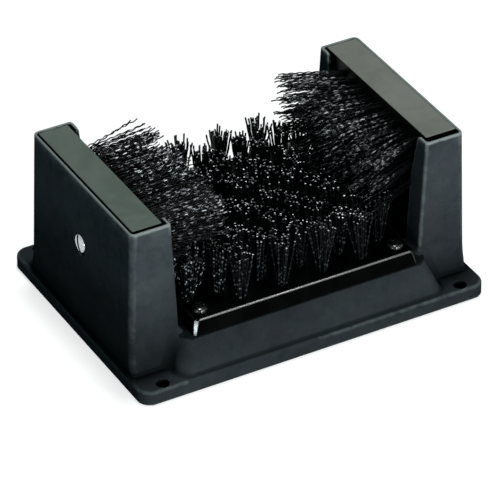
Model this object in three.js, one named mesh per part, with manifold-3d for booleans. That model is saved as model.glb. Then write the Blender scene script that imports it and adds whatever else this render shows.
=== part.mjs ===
// Boot scraper: a cast base with a brush block on its deck and a brush block in each of its two towers.
// Millimetres. X runs from the left tower to the right one, Y from front to back, Z up.
// The origin is at the middle of the base, on the ground.
import * as THREE from 'three';
import { mergeVertices } from 'three/addons/utils/BufferGeometryUtils.js';
import Module from 'manifold-3d';

const wasm = await Module();
wasm.setup();

// Driving dimensions

const flange = { length: 305, depth: 222, thickness: 12, cornerRadius: 12, edgeRadius: 2.5 };
const boltHole = { insetX: 20.5, insetY: 8, diameter: 10, padRadius: 13 };

// A tower stands back from the edges of the flange, and its faces lean in by a draft
const tower = {
  height: 137.3,
  setbackX: 3.5,
  setbackY: 28,
  outerDraft: 4,
  innerDraft: 6.5,
  endDraft: 1.5,
  edgeRadius: 5,
  rimRadius: 1.5,
  footFillet: 1,
};
const pocket = { wallOutside: 3.6, wallEnds: 3.5, lipThickness: 3.5 };
const lip = { widthAtTop: 12, widthBelow: 15.5, taperLength: 37.3, topCornerRadius: 5 };

const deckHeight = 37;
const tub = { setbackY: 17, flareAngle: 27, endOverlap: 2, endFlareAngle: 20, cornerRadius: 12 };
const notchRadius = 6.8;
const footBlend = {
  drop: 1,
  sink: 0.5,
  reachAtCorner: 2,
  reachAtTower: 4,
  reachAtMiddle: 7,
  reachAtBend: 13.5,
  reachAtTub: 24,
};

const underside = { wall: 4.2, deckWall: 4, ribInset: 3, ribThickness: 4, cornerRadius: 8 };
const stiffener = { spacing: 70, thickness: 4, depth: 8 };
const boss = { diameter: 13, bottom: 14 };

const bottomBlock = {
  endGap: 0.3,
  edgeGap: 1,
  thickness: 13,
  edgeDraft: 2.5,
  cornerRadius: 3,
  edgeRadius: 0.8,
};
const bottomScrew = {
  insetX: 12.6,
  insetY: 14.5,
  headDiameter: 14,
  headHeight: 3.6,
  brimShare: 0.3,
  shankDiameter: 6,
  shankLength: 28,
  recessWidth: 1.8,
  recessLength: 7,
  recessDepth: 2.2,
};

const sideBlock = { thickness: 25.2, play: 3.5, lipGap: 1.4, rimGap: 0.3, edgeRadius: 0.8 };
const sideBlockSlack = { left: 1.2, right: 0.3 };
const sideScrew = {
  height: 83,
  seatDiameter: 17,
  seatDepth: 0.4,
  headDiameter: 15,
  headHeight: 4,
  brimShare: 0.65,
  shankDiameter: 6,
  shankLength: 20,
  slotWidth: 2,
  slotDepth: 1.8,
  slotAngle: 45,
};

const backing = { thickness: 2, margin: 3, screwGap: 1 };
const bottomTufts = {
  pitchX: 35.5,
  rowPitch: 16,
  rowShift: 12,
  firstX: 20,
  insetX: 11.1,
  insetY: 12,
  strands: 4,
  holeRadius: 2.4,
  spread: 4.5,
  height: 43,
  heightUnderSides: 21,
  heightVariation: 4,
  strandDiameter: 1.4,
};
const sideTufts = {
  columns: 8,
  rows: 7,
  lipInset: 6.5,
  rimInset: 11,
  clearance: 2,
  leftLength: 66,
  rightLength: 54,
  lengthVariation: 6,
  fanUp: 14,
  fanAcross: 10,
  stagger: 0.25,
  crimps: 4,
  crimpHeight: 1.2,
  strandDiameter: 1.2,
};

// Clearances between mating pieces
const slideGap = 0.3;
const holeGap = 0.3;

// How far a cutting body runs past what it cuts
const overcut = 1;

// Smoothness of round forms
const cornerSteps = 4;
const roundSides = 24;
const filletSteps = 3;
const notchSteps = 6;
const blendSteps = 4;

// Places that several pieces share

const outerAtFoot = flange.length / 2 - tower.setbackX;
const outerAtTop = outerAtFoot - tower.outerDraft;
const halfDepthAtFoot = flange.depth / 2 - tower.setbackY;
const halfDepthAtTop = halfDepthAtFoot - tower.endDraft;

const pocketOuter = outerAtTop - pocket.wallOutside;
const sideBlockOuter = pocketOuter - slideGap;
const sideBlockInner = sideBlockOuter - sideBlock.thickness;
const pocketInner = sideBlockInner - sideBlock.lipGap;
const pocketHalfDepth = halfDepthAtTop - pocket.wallEnds;
const sideBlockTop = tower.height - sideBlock.rimGap;

const innerAtTop = pocketInner - pocket.lipThickness;
const innerAtFoot = innerAtTop - tower.innerDraft;
const lipReach = pocketHalfDepth - lip.widthBelow;
const notchHalfWidth = towerOutline(deckHeight + notchRadius, 0).x0;
const tubHalfLength = notchHalfWidth + tub.endOverlap;
const tubHalfDepth = flange.depth / 2 - tub.setbackY;
const middleHalfLength = tubHalfLength - underside.ribInset;

const blockTop = deckHeight + bottomBlock.thickness;
const blockHalfX = notchHalfWidth - notchRadius - bottomBlock.endGap;
const blockHalfY = tubHalfDepth - bottomBlock.edgeGap;
const screwX = blockHalfX - bottomScrew.insetX;
const screwY = blockHalfY - bottomScrew.insetY;

const tuftReachX = blockHalfX - bottomTufts.insetX;
const tuftRows = Math.floor(2 * (blockHalfY - bottomTufts.insetY) / bottomTufts.rowPitch) + 1;
const tuftReachY = (tuftRows - 1) / 2 * bottomTufts.rowPitch;
const sideTuftReach = lipReach - sideTufts.lipInset;
const sideTuftTop = sideBlockTop - sideTufts.rimInset;
const sideTuftBottom = blockTop + bottomTufts.heightUnderSides + bottomTufts.heightVariation / 2
  + sideTufts.fanUp / 2 + sideTufts.clearance;

const corners = [
  { name: 'front_left', x: -1, y: -1 },
  { name: 'front_right', x: 1, y: -1 },
  { name: 'rear_left', x: -1, y: 1 },
  { name: 'rear_right', x: 1, y: 1 },
];
const sides = [
  { name: 'left', x: -1, slack: sideBlockSlack.left, bristleLength: sideTufts.leftLength },
  { name: 'right', x: 1, slack: sideBlockSlack.right, bristleLength: sideTufts.rightLength },
];

// Solids and geometry

function solidOf(geometry) {
  geometry.deleteAttribute('normal');
  geometry.deleteAttribute('uv');
  const merged = mergeVertices(geometry);
  return new wasm.Manifold(new wasm.Mesh({
    numProp: 3,
    vertProperties: new Float32Array(merged.attributes.position.array),
    triVerts: new Uint32Array(merged.index.array),
  }));
}

function geometryOf(solid) {
  const mesh = solid.getMesh();
  const geometry = new THREE.BufferGeometry();
  geometry.setAttribute('position', new THREE.BufferAttribute(mesh.vertProperties, 3));
  geometry.setIndex(new THREE.BufferAttribute(mesh.triVerts, 1));
  geometry.computeVertexNormals();
  return geometry;
}

function box(x0, x1, y0, y1, z0, z1) {
  const geometry = new THREE.BoxGeometry(x1 - x0, y1 - y0, z1 - z0);
  geometry.translate((x0 + x1) / 2, (y0 + y1) / 2, (z0 + z1) / 2);
  return solidOf(geometry);
}

// A post between two heights
function post(x, y, radius, z0, z1) {
  const geometry = new THREE.CylinderGeometry(radius, radius, z1 - z0, roundSides);
  geometry.rotateX(Math.PI / 2);
  geometry.translate(x, y, (z0 + z1) / 2);
  return solidOf(geometry);
}

// A post that lies along X between two places
function bar(y, z, radius, x0, x1) {
  const geometry = new THREE.CylinderGeometry(radius, radius, x1 - x0, roundSides);
  geometry.rotateZ(Math.PI / 2);
  geometry.translate((x0 + x1) / 2, y, z);
  return solidOf(geometry);
}

// Points of a rectangle with round corners, anticlockwise, as [x, y]
function roundedRectangle({ x0, x1, y0, y1, radius }) {
  const centres = [
    [x1 - radius, y1 - radius, 0],
    [x0 + radius, y1 - radius, 1],
    [x0 + radius, y0 + radius, 2],
    [x1 - radius, y0 + radius, 3],
  ];
  const points = [];
  for (const [cx, cy, quarter] of centres) {
    for (let step = 0; step <= cornerSteps; step += 1) {
      const angle = (quarter + step / cornerSteps) * Math.PI / 2;
      points.push([cx + radius * Math.cos(angle), cy + radius * Math.sin(angle)]);
    }
  }
  return points;
}

// A closed body through level outlines of as many points each, lowest first, as { z, points }
function loft(levels) {
  const count = levels[0].points.length;
  const positions = [];
  for (const level of levels) {
    for (const [x, y] of level.points) {
      positions.push(x, y, level.z);
    }
  }
  const index = [];
  for (let row = 0; row + 1 < levels.length; row += 1) {
    for (let i = 0; i < count; i += 1) {
      const a = row * count + i;
      const b = row * count + (i + 1) % count;
      index.push(a, b, b + count, a, b + count, a + count);
    }
  }
  const outline = levels[0].points.map(([x, y]) => new THREE.Vector2(x, y));
  const last = (levels.length - 1) * count;
  const topOutline = levels[levels.length - 1].points.map(([x, y]) => new THREE.Vector2(x, y));
  for (const [a, b, c] of THREE.ShapeUtils.triangulateShape(outline, [])) {
    index.push(a, c, b);
  }
  for (const [a, b, c] of THREE.ShapeUtils.triangulateShape(topOutline, [])) {
    index.push(last + a, last + b, last + c);
  }
  const geometry = new THREE.BufferGeometry();
  geometry.setAttribute('position', new THREE.Float32BufferAttribute(positions, 3));
  geometry.setIndex(index);
  return solidOf(geometry);
}

// Mirrors an outline left to right or front to back and keeps it anticlockwise
function mirrored(points, signX, signY) {
  const turned = points.map(([x, y]) => [x * signX, y * signY]);
  return signX * signY < 0 ? turned.reverse() : turned;
}

// How far a quarter-round edge has drawn in at each of its steps, from its start to its end
function roundingSteps(radius) {
  const steps = [];
  for (let step = 0; step <= filletSteps; step += 1) {
    const angle = (step / filletSteps) * Math.PI / 2;
    steps.push({ inset: radius * (1 - Math.cos(angle)), rise: radius * Math.sin(angle) });
  }
  return steps;
}

function mix(a, b, share) {
  return a + (b - a) * share;
}

// A number from 0 to 1 that looks random and is always the same for the same seed
function scatter(seed) {
  const value = Math.sin(seed * 127.1 + 11.7) * 43758.5453;
  return value - Math.floor(value);
}

// Base casting

function flangeSolid() {
  const halfLength = flange.length / 2;
  const halfDepth = flange.depth / 2;
  const outline = (inset) => roundedRectangle({
    x0: -halfLength + inset,
    x1: halfLength - inset,
    y0: -halfDepth + inset,
    y1: halfDepth - inset,
    radius: flange.cornerRadius - inset,
  });
  const levels = [{ z: 0, points: outline(0) }];
  for (const { inset, rise } of roundingSteps(flange.edgeRadius)) {
    levels.push({ z: flange.thickness - flange.edgeRadius + rise, points: outline(inset) });
  }
  return loft(levels);
}

// Outline of a tower at a height, grown outwards by a margin
function towerOutline(z, margin) {
  const share = (z - flange.thickness) / (tower.height - flange.thickness);
  const halfDepth = mix(halfDepthAtFoot, halfDepthAtTop, share) + margin;
  return {
    x0: mix(innerAtFoot, innerAtTop, share) - margin,
    x1: mix(outerAtFoot, outerAtTop, share) + margin,
    y0: -halfDepth,
    y1: halfDepth,
    radius: tower.edgeRadius + margin,
  };
}

function towerSolid(side) {
  const foot = flange.thickness;
  const levels = [{ z: foot - flange.edgeRadius, margin: tower.footFillet }];
  for (const { inset, rise } of roundingSteps(tower.footFillet)) {
    levels.push({ z: foot + inset, margin: tower.footFillet - rise });
  }
  for (const { inset, rise } of roundingSteps(tower.rimRadius)) {
    levels.push({ z: tower.height - tower.rimRadius + rise, margin: -inset });
  }
  return loft(levels.map(({ z, margin }) => ({
    z,
    points: mirrored(roundedRectangle(towerOutline(z, margin)), side.x, 1),
  })));
}

function tubOutline(z) {
  const fall = deckHeight - z;
  const halfLength = tubHalfLength + fall * Math.tan(THREE.MathUtils.degToRad(tub.endFlareAngle));
  const halfDepth = tubHalfDepth + fall * Math.tan(THREE.MathUtils.degToRad(tub.flareAngle));
  return roundedRectangle({
    x0: -halfLength,
    x1: halfLength,
    y0: -halfDepth,
    y1: halfDepth,
    radius: tub.cornerRadius,
  });
}

// Above the deck the tub draws back to the tower's face, as far up as the round corners of the notch reach
function tubSolid() {
  const foot = flange.thickness - flange.edgeRadius;
  const levels = [foot, deckHeight].map((z) => ({ z, points: tubOutline(z) }));
  for (let step = 1; step <= filletSteps; step += 1) {
    const share = step / filletSteps;
    const z = deckHeight + notchRadius * share;
    const face = towerOutline(z, 0).y1;
    const halfDepth = mix(face, tubHalfDepth, (1 - share) ** 2);
    levels.push({
      z,
      points: roundedRectangle({
        x0: -tubHalfLength,
        x1: tubHalfLength,
        y0: -halfDepth,
        y1: halfDepth,
        radius: tub.cornerRadius,
      }),
    });
  }
  return loft(levels);
}

// What is taken away between the towers above the deck, with round lower corners
function notchCutter() {
  const reach = flange.depth;
  const above = tower.height + notchRadius;
  const centreX = notchHalfWidth - notchRadius;
  const centreZ = deckHeight + notchRadius;
  const shape = new THREE.Shape();
  shape.moveTo(-notchHalfWidth, above);
  shape.lineTo(-notchHalfWidth, centreZ);
  shape.absarc(-centreX, centreZ, notchRadius, Math.PI, 1.5 * Math.PI, false);
  shape.absarc(centreX, centreZ, notchRadius, 1.5 * Math.PI, 2 * Math.PI, false);
  shape.lineTo(notchHalfWidth, above);
  shape.closePath();
  const options = { depth: reach, bevelEnabled: false, curveSegments: notchSteps };
  const geometry = new THREE.ExtrudeGeometry(shape, options);
  geometry.translate(0, 0, -reach / 2);
  geometry.rotateX(Math.PI / 2);
  return solidOf(geometry);
}

// The hollow skirt where a tower's face runs out into the end of the tub
function footBlendSolid(corner) {
  const levels = [];
  for (let step = 0; step <= blendSteps; step += 1) {
    const share = step / blendSteps;
    const z = mix(flange.thickness - flange.edgeRadius, deckHeight - footBlend.drop, share);
    const lean = (1 - share) ** 2;
    const face = towerOutline(z, 0);
    const outer = face.x1 - tower.edgeRadius;
    const middle = (outer + tubHalfLength) / 2;
    const bend = (middle + tubHalfLength) / 2;
    const inside = face.y1 - tower.edgeRadius;
    const diagonal = tower.edgeRadius * Math.SQRT1_2;
    const points = [
      [tubHalfLength - tower.edgeRadius, inside],
      [face.x1 - footBlend.sink, inside],
      [outer + diagonal, inside + diagonal + footBlend.reachAtCorner * lean],
      [outer, face.y1 + footBlend.reachAtTower * lean],
      [middle, face.y1 + footBlend.reachAtMiddle * lean],
      [bend, face.y1 + footBlend.reachAtBend * lean],
      [tubHalfLength, face.y1 + footBlend.reachAtTub * lean],
      [tubHalfLength - tower.edgeRadius, face.y1 + footBlend.reachAtTub * lean],
    ];
    levels.push({ z, points: mirrored(points, corner.x, corner.y) });
  }
  return loft(levels);
}

// The hollow under the deck between the two ribs
function middleHollow() {
  const top = deckHeight - underside.deckWall;
  const halfDepth = (z) => {
    const fall = deckHeight - z;
    return tubHalfDepth + fall * Math.tan(THREE.MathUtils.degToRad(tub.flareAngle)) - underside.wall;
  };
  const outline = (z, halfY) => ({
    z,
    points: roundedRectangle({
      x0: -middleHalfLength,
      x1: middleHalfLength,
      y0: -halfY,
      y1: halfY,
      radius: underside.cornerRadius,
    }),
  });
  const bendHeight = flange.thickness;
  const bendDepth = halfDepth(bendHeight) - underside.wall;
  return loft([
    outline(-overcut, bendDepth),
    outline(bendHeight, bendDepth),
    outline(top, halfDepth(top)),
  ]);
}

// The hollow under a tower's pocket
function towerHollow(side) {
  const top = deckHeight - underside.deckWall;
  const levels = [-overcut, top].map((z) => {
    const face = towerOutline(Math.max(z, flange.thickness), -underside.wall);
    const points = roundedRectangle({
      x0: middleHalfLength + underside.ribThickness,
      x1: face.x1,
      y0: face.y0,
      y1: face.y1,
      radius: underside.cornerRadius,
    });
    return { z, points: mirrored(points, side.x, 1) };
  });
  return loft(levels);
}

// What is taken out of a tower's inner wall so that a lip stays at each end
function lipOpeningCutter(side) {
  const { widthAtTop, taperLength, topCornerRadius } = lip;
  const halfWidthAtTop = pocketHalfDepth - widthAtTop;
  const above = tower.height + overcut;
  const half = [
    [lipReach, deckHeight],
    [lipReach, tower.height - taperLength],
  ];
  for (const { inset, rise } of roundingSteps(topCornerRadius)) {
    half.push([halfWidthAtTop + inset, tower.height - topCornerRadius + rise]);
  }
  half.push([halfWidthAtTop + topCornerRadius, above]);
  const outline = half.concat(half.map(([y, z]) => [-y, z]).reverse());
  const shape = new THREE.Shape(outline.map(([y, z]) => new THREE.Vector2(y, z)));
  const start = innerAtFoot - tower.edgeRadius;
  const end = pocketInner + overcut;
  const geometry = new THREE.ExtrudeGeometry(shape, { depth: end - start, bevelEnabled: false });
  geometry.rotateX(Math.PI / 2);
  geometry.rotateZ(Math.PI / 2);
  geometry.translate(side.x > 0 ? start : -end, 0, 0);
  return solidOf(geometry);
}

// The flat seat of a side screw's head on the sloping outer wall
function sideSeat() {
  return towerOutline(sideScrew.height, 0).x1 - sideScrew.seatDepth;
}

function baseFrame() {
  let solid = flangeSolid().add(tubSolid());
  for (const corner of corners) solid = solid.add(footBlendSolid(corner));
  solid = solid.subtract(notchCutter());
  solid = solid.subtract(box(-innerAtFoot, innerAtFoot, -lipReach, lipReach, deckHeight, tower.height));
  for (const side of sides) solid = solid.add(towerSolid(side));

  for (const side of sides) {
    const [x0, x1] = side.x > 0 ? [pocketInner, pocketOuter] : [-pocketOuter, -pocketInner];
    const above = tower.height + overcut;
    solid = solid.subtract(box(x0, x1, -pocketHalfDepth, pocketHalfDepth, deckHeight, above));
    solid = solid.subtract(lipOpeningCutter(side));
    solid = solid.subtract(towerHollow(side));
  }
  solid = solid.subtract(middleHollow());
  solid = addStiffeners(solid);

  for (const side of sides) {
    const seat = sideSeat();
    const outside = outerAtFoot + overcut;
    const inside = pocketOuter - overcut;
    const seatRange = side.x > 0 ? [seat, outside] : [-outside, -seat];
    const holeRange = side.x > 0 ? [inside, outside] : [-outside, -inside];
    solid = solid.subtract(bar(0, sideScrew.height, sideScrew.seatDiameter / 2, ...seatRange));
    solid = solid.subtract(bar(0, sideScrew.height, sideScrew.shankDiameter / 2 + holeGap, ...holeRange));
  }
  for (const corner of corners) {
    const x = corner.x * (flange.length / 2 - boltHole.insetX);
    const y = corner.y * (flange.depth / 2 - boltHole.insetY);
    const through = flange.thickness + overcut;
    solid = solid.subtract(post(x, y, boltHole.padRadius, flange.thickness, deckHeight));
    solid = solid.subtract(post(x, y, boltHole.diameter / 2, -overcut, through));
  }
  return solid;
}

// Low ribs and screw bosses on the underside of the deck
function addStiffeners(solid) {
  const top = deckHeight - underside.deckWall / 2;
  const ribBottom = deckHeight - underside.deckWall - stiffener.depth;
  const half = stiffener.thickness / 2;
  const reachY = tubHalfDepth - underside.wall + overcut;
  const reachX = middleHalfLength + overcut;
  let result = solid.add(box(-reachX, reachX, -half, half, ribBottom, top));
  for (const sign of [-1, 1]) {
    const x = sign * stiffener.spacing / 2;
    result = result.add(box(x - half, x + half, -reachY, reachY, ribBottom, top));
  }
  for (const corner of corners) {
    const x = corner.x * screwX;
    const y = corner.y * screwY;
    const screwRadius = bottomScrew.shankDiameter / 2 + holeGap;
    result = result.add(post(x, y, boss.diameter / 2, boss.bottom, top));
    result = result.subtract(post(x, y, screwRadius, boss.bottom - overcut, deckHeight + overcut));
  }
  return result;
}

// Brush blocks

function bottomTuftPlaces() {
  const places = [];
  for (let row = 0; row < tuftRows; row += 1) {
    const y = row * bottomTufts.rowPitch - tuftReachY;
    const shift = bottomTufts.firstX - row * bottomTufts.rowShift;
    const first = Math.ceil((-tuftReachX - shift) / bottomTufts.pitchX);
    const last = Math.floor((tuftReachX - shift) / bottomTufts.pitchX);
    for (let column = first; column <= last; column += 1) {
      const x = shift + column * bottomTufts.pitchX;
      const nearScrew = Math.abs(Math.abs(x) - screwX) < bottomScrew.headDiameter
        && Math.abs(Math.abs(y) - screwY) < bottomScrew.headDiameter;
      if (!nearScrew) places.push([x, y]);
    }
  }
  return places;
}

// The slice of the bottom block that holds the tufts, or its recess, clear of the four screws
function bottomSlice(margin, z0, z1) {
  const halfX = tuftReachX + backing.margin + margin;
  const halfY = tuftReachY + backing.margin + margin;
  const clearX = screwX - bottomScrew.headDiameter / 2 - backing.screwGap + margin;
  const clearY = screwY - bottomScrew.headDiameter / 2 - backing.screwGap + margin;
  return box(-clearX, clearX, -halfY, halfY, z0, z1).add(box(-halfX, halfX, -clearY, clearY, z0, z1));
}

function bottomBlockSolid() {
  const outline = (z, inset) => ({
    z,
    points: roundedRectangle({
      x0: -blockHalfX + inset,
      x1: blockHalfX - inset,
      y0: -blockHalfY + inset,
      y1: blockHalfY - inset,
      radius: bottomBlock.cornerRadius,
    }),
  });
  const drafted = bottomBlock.edgeDraft;
  const levels = [outline(deckHeight, 0)];
  for (const { inset, rise } of roundingSteps(bottomBlock.edgeRadius)) {
    levels.push(outline(blockTop - bottomBlock.edgeRadius + rise, drafted + inset));
  }
  let solid = loft(levels);
  const above = blockTop + overcut;
  const below = deckHeight - overcut;
  const screwRadius = bottomScrew.shankDiameter / 2 + holeGap;
  solid = solid.subtract(bottomSlice(slideGap, blockTop - backing.thickness, above));
  for (const corner of corners) {
    solid = solid.subtract(post(corner.x * screwX, corner.y * screwY, screwRadius, below, above));
  }
  return solid;
}

// Range of a side block along Y, pushed towards the back wall of its pocket
function sideBlockRange(side) {
  const back = pocketHalfDepth - side.slack;
  return { y0: sideBlock.play - side.slack - pocketHalfDepth, y1: back };
}

// The slice of a side block that holds its tufts, or the recess that takes the slice
function sideSlice(side, margin) {
  const x0 = sideBlockInner - margin;
  const x1 = sideBlockInner + backing.thickness;
  const halfY = sideTuftReach + backing.margin + margin;
  const z0 = sideTuftBottom - backing.margin - margin;
  const z1 = sideTuftTop + backing.margin + margin;
  return side.x > 0 ? box(x0, x1, -halfY, halfY, z0, z1) : box(-x1, -x0, -halfY, halfY, z0, z1);
}

function sideBlockSolid(side) {
  const range = sideBlockRange(side);
  const outline = (z, inset) => {
    const points = roundedRectangle({
      x0: sideBlockInner + inset,
      x1: sideBlockOuter - inset,
      y0: range.y0 + inset,
      y1: range.y1 - inset,
      radius: sideBlock.edgeRadius,
    });
    return { z, points: mirrored(points, side.x, 1) };
  };
  const levels = [outline(deckHeight, 0)];
  for (const { inset, rise } of roundingSteps(sideBlock.edgeRadius / 2)) {
    levels.push(outline(sideBlockTop - sideBlock.edgeRadius / 2 + rise, inset));
  }
  let solid = loft(levels);
  solid = solid.subtract(sideSlice(side, slideGap));
  const reach = sideSeat() - sideScrew.shankLength - overcut;
  const [x0, x1] = side.x > 0 ? [reach, pocketOuter] : [-pocketOuter, -reach];
  return solid.subtract(bar(0, sideScrew.height, sideScrew.shankDiameter / 2 + holeGap, x0, x1));
}

// Bristles

// One strand of three sides through a list of points, with its first ring lying across the first step
function strand(points, diameter) {
  const sideCount = 3;
  const radius = diameter / 2;
  const axis = points[points.length - 1].clone().sub(points[0]).normalize();
  const across = new THREE.Vector3(0, 1, 0).addScaledVector(axis, -axis.y).normalize();
  const other = new THREE.Vector3().crossVectors(axis, across);
  const positions = [];
  for (const point of points) {
    for (let i = 0; i < sideCount; i += 1) {
      const angle = i / sideCount * 2 * Math.PI;
      const place = point.clone();
      place.addScaledVector(across, radius * Math.cos(angle));
      place.addScaledVector(other, radius * Math.sin(angle));
      positions.push(place.x, place.y, place.z);
    }
  }
  const index = [0, 2, 1];
  for (let row = 0; row + 1 < points.length; row += 1) {
    for (let i = 0; i < sideCount; i += 1) {
      const a = row * sideCount + i;
      const b = row * sideCount + (i + 1) % sideCount;
      index.push(a, b, b + sideCount, a, b + sideCount, a + sideCount);
    }
  }
  const last = (points.length - 1) * sideCount;
  index.push(last, last + 1, last + 2);
  const geometry = new THREE.BufferGeometry();
  geometry.setAttribute('position', new THREE.Float32BufferAttribute(positions, 3));
  geometry.setIndex(index);
  return solidOf(geometry);
}

// A tuft that the side bristles press on stands lower than the others
function tuftHeight(x, y) {
  const side = sides.find((candidate) => candidate.x * x > 0) ?? sides[0];
  const reach = bottomTufts.holeRadius + bottomTufts.spread + backing.margin;
  const tips = sideBlockInner - side.bristleLength - sideTufts.lengthVariation / 2;
  const under = Math.abs(x) + reach > tips && Math.abs(y) - reach < sideTuftReach;
  return under ? bottomTufts.heightUnderSides : bottomTufts.height;
}

function bottomBristles() {
  const root = blockTop - backing.thickness / 2;
  const reach = bottomTufts.holeRadius + bottomTufts.spread;
  const pieces = [bottomSlice(0, blockTop - backing.thickness, blockTop)];
  bottomTuftPlaces().forEach(([x, y], tuft) => {
    for (let i = 0; i < bottomTufts.strands; i += 1) {
      const angle = (i / bottomTufts.strands + scatter(tuft)) * 2 * Math.PI;
      const seed = tuft * bottomTufts.strands + i;
      const height = tuftHeight(x, y) + (scatter(seed + 0.5) - 0.5) * bottomTufts.heightVariation;
      pieces.push(strand([
        new THREE.Vector3(
          x + bottomTufts.holeRadius * Math.cos(angle),
          y + bottomTufts.holeRadius * Math.sin(angle),
          root,
        ),
        new THREE.Vector3(x + reach * Math.cos(angle), y + reach * Math.sin(angle), blockTop + height),
      ], bottomTufts.strandDiameter));
    }
  });
  return wasm.Manifold.union(pieces);
}

// Crimped strands that lie towards the middle, all bent alike so that none cross
function sideBristles(side) {
  const root = sideBlockInner + backing.thickness / 2;
  const pieces = [sideSlice(side, 0)];
  for (let row = 0; row < sideTufts.rows; row += 1) {
    const stagger = row % 2 ? sideTufts.stagger : -sideTufts.stagger;
    const rise = (row + 0.5) / sideTufts.rows;
    const z = mix(sideTuftBottom, sideTuftTop, rise);
    for (let column = 0; column < sideTufts.columns; column += 1) {
      const across = (column + 0.5 + stagger) / sideTufts.columns;
      const y = sideTuftReach * (2 * across - 1);
      const seed = row * sideTufts.columns + column + (side.x > 0 ? 0.3 : 0.7);
      const length = side.bristleLength + (scatter(seed) - 0.5) * sideTufts.lengthVariation;
      const bends = sideTufts.crimps * 2;
      const points = [];
      for (let bend = 0; bend <= bends; bend += 1) {
        const along = bend / bends;
        const x = mix(root, sideBlockInner - length, along);
        const lift = sideTufts.fanUp * (rise - 0.5) * along + (bend % 2 ? sideTufts.crimpHeight : 0);
        const drift = sideTufts.fanAcross * (across - 0.5) * along;
        points.push(new THREE.Vector3(side.x * x, y + drift, z + lift));
      }
      pieces.push(strand(points, sideTufts.strandDiameter));
    }
  }
  return wasm.Manifold.union(pieces);
}

// Screws, head up, with the underside of the head at their own origin

// Points of a domed head above its brim, as shares of its radius and of its height above the brim
const domePoints = [
  [1, 0],
  [0.87, 0.7],
  [0.5, 0.96],
  [0, 1],
];
const pointShare = 0.6;

function screwBody({ headDiameter, headHeight, shankDiameter, shankLength, brimShare }) {
  const headRadius = headDiameter / 2;
  const shankRadius = shankDiameter / 2;
  const pointLength = shankRadius * pointShare;
  const profile = [
    [0, -shankLength],
    [shankRadius - pointLength, -shankLength],
    [shankRadius, -shankLength + pointLength],
    [shankRadius, 0],
    [headRadius, 0],
    ...domePoints.map(([out, up]) => [headRadius * out, headHeight * mix(brimShare, 1, up)]),
  ];
  const geometry = new THREE.LatheGeometry(profile.map(([r, h]) => new THREE.Vector2(r, h)), roundSides);
  geometry.rotateX(Math.PI / 2);
  return solidOf(geometry);
}

function crossScrew() {
  const { headHeight, recessWidth, recessLength, recessDepth } = bottomScrew;
  const half = recessWidth / 2;
  const arm = recessLength / 2;
  const floor = headHeight - recessDepth;
  const above = headHeight + overcut;
  return screwBody(bottomScrew)
    .subtract(box(-arm, arm, -half, half, floor, above))
    .subtract(box(-half, half, -arm, arm, floor, above));
}

function slottedScrew() {
  const { headDiameter, headHeight, slotWidth, slotDepth } = sideScrew;
  const half = slotWidth / 2;
  const floor = headHeight - slotDepth;
  const above = headHeight + overcut;
  return screwBody(sideScrew).subtract(box(-headDiameter, headDiameter, -half, half, floor, above));
}

// Materials

function finish(color, roughness, metalness) {
  return new THREE.MeshStandardMaterial({ color, roughness, metalness });
}

function casting() {
  return finish(0x3b4042, 0.75, 0.1);
}

function glossyBlock() {
  return finish(0x0b0c0d, 0.18, 0);
}

function bristle() {
  return finish(0x101214, 0.35, 0);
}

function blackScrew() {
  return finish(0x17181a, 0.35, 0.6);
}

function zincScrew() {
  return finish(0xc9cbcc, 0.3, 1);
}

// The assembly

const bootScraper = new THREE.Group();

function place(name, solid, material, position = [0, 0, 0], rotation = [0, 0, 0]) {
  const mesh = new THREE.Mesh(geometryOf(solid), material);
  mesh.name = name;
  mesh.position.set(...position);
  mesh.rotation.set(...rotation);
  bootScraper.add(mesh);
}

place('base_frame', baseFrame(), casting());
place('bottom_brush_block', bottomBlockSolid(), glossyBlock());
place('bottom_bristles', bottomBristles(), bristle());
for (const corner of corners) {
  const x = corner.x * screwX;
  const y = corner.y * screwY;
  const turn = scatter(corner.x + 2 * corner.y) * Math.PI;
  place(`bottom_screw_${corner.name}`, crossScrew(), blackScrew(), [x, y, blockTop], [0, 0, turn]);
}
for (const side of sides) {
  place(`${side.name}_brush_block`, sideBlockSolid(side), glossyBlock());
  place(`${side.name}_bristles`, sideBristles(side), bristle());
  const position = [side.x * sideSeat(), 0, sideScrew.height];
  const tilt = THREE.MathUtils.degToRad(side.x * sideScrew.slotAngle);
  place(`${side.name}_side_screw`, slottedScrew(), zincScrew(), position, [tilt, side.x * Math.PI / 2, 0]);
}

export default bootScraper;
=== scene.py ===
import math

import bmesh
import bpy
import numpy as np
from mathutils import Matrix, Vector


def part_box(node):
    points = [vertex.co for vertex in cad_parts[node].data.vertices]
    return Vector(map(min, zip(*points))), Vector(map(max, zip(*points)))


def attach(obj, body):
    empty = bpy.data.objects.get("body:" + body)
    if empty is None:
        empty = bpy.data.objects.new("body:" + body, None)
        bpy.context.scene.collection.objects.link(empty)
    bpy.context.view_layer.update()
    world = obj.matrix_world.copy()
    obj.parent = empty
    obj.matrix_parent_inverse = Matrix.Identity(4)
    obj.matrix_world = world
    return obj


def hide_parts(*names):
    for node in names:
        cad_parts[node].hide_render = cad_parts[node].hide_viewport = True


bl_info = {
    "name": "Boot Scraper",
    "version": (1, 0, 0),
    "blender": (4, 5, 0),
    "location": "3D View > Sidebar > Boot Scraper",
    "description": "Builds a boot scraper: its casting, brush blocks, bristles and screws, and a plain stage",
    "category": "Object",
}

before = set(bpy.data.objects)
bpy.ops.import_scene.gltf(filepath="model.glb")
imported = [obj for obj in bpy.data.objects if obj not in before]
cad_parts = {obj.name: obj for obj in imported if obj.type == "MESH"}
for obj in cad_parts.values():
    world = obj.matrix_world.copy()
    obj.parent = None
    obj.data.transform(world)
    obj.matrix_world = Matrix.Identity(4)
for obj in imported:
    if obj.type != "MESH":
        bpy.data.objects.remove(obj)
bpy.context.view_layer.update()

MM = 0.001

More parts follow.
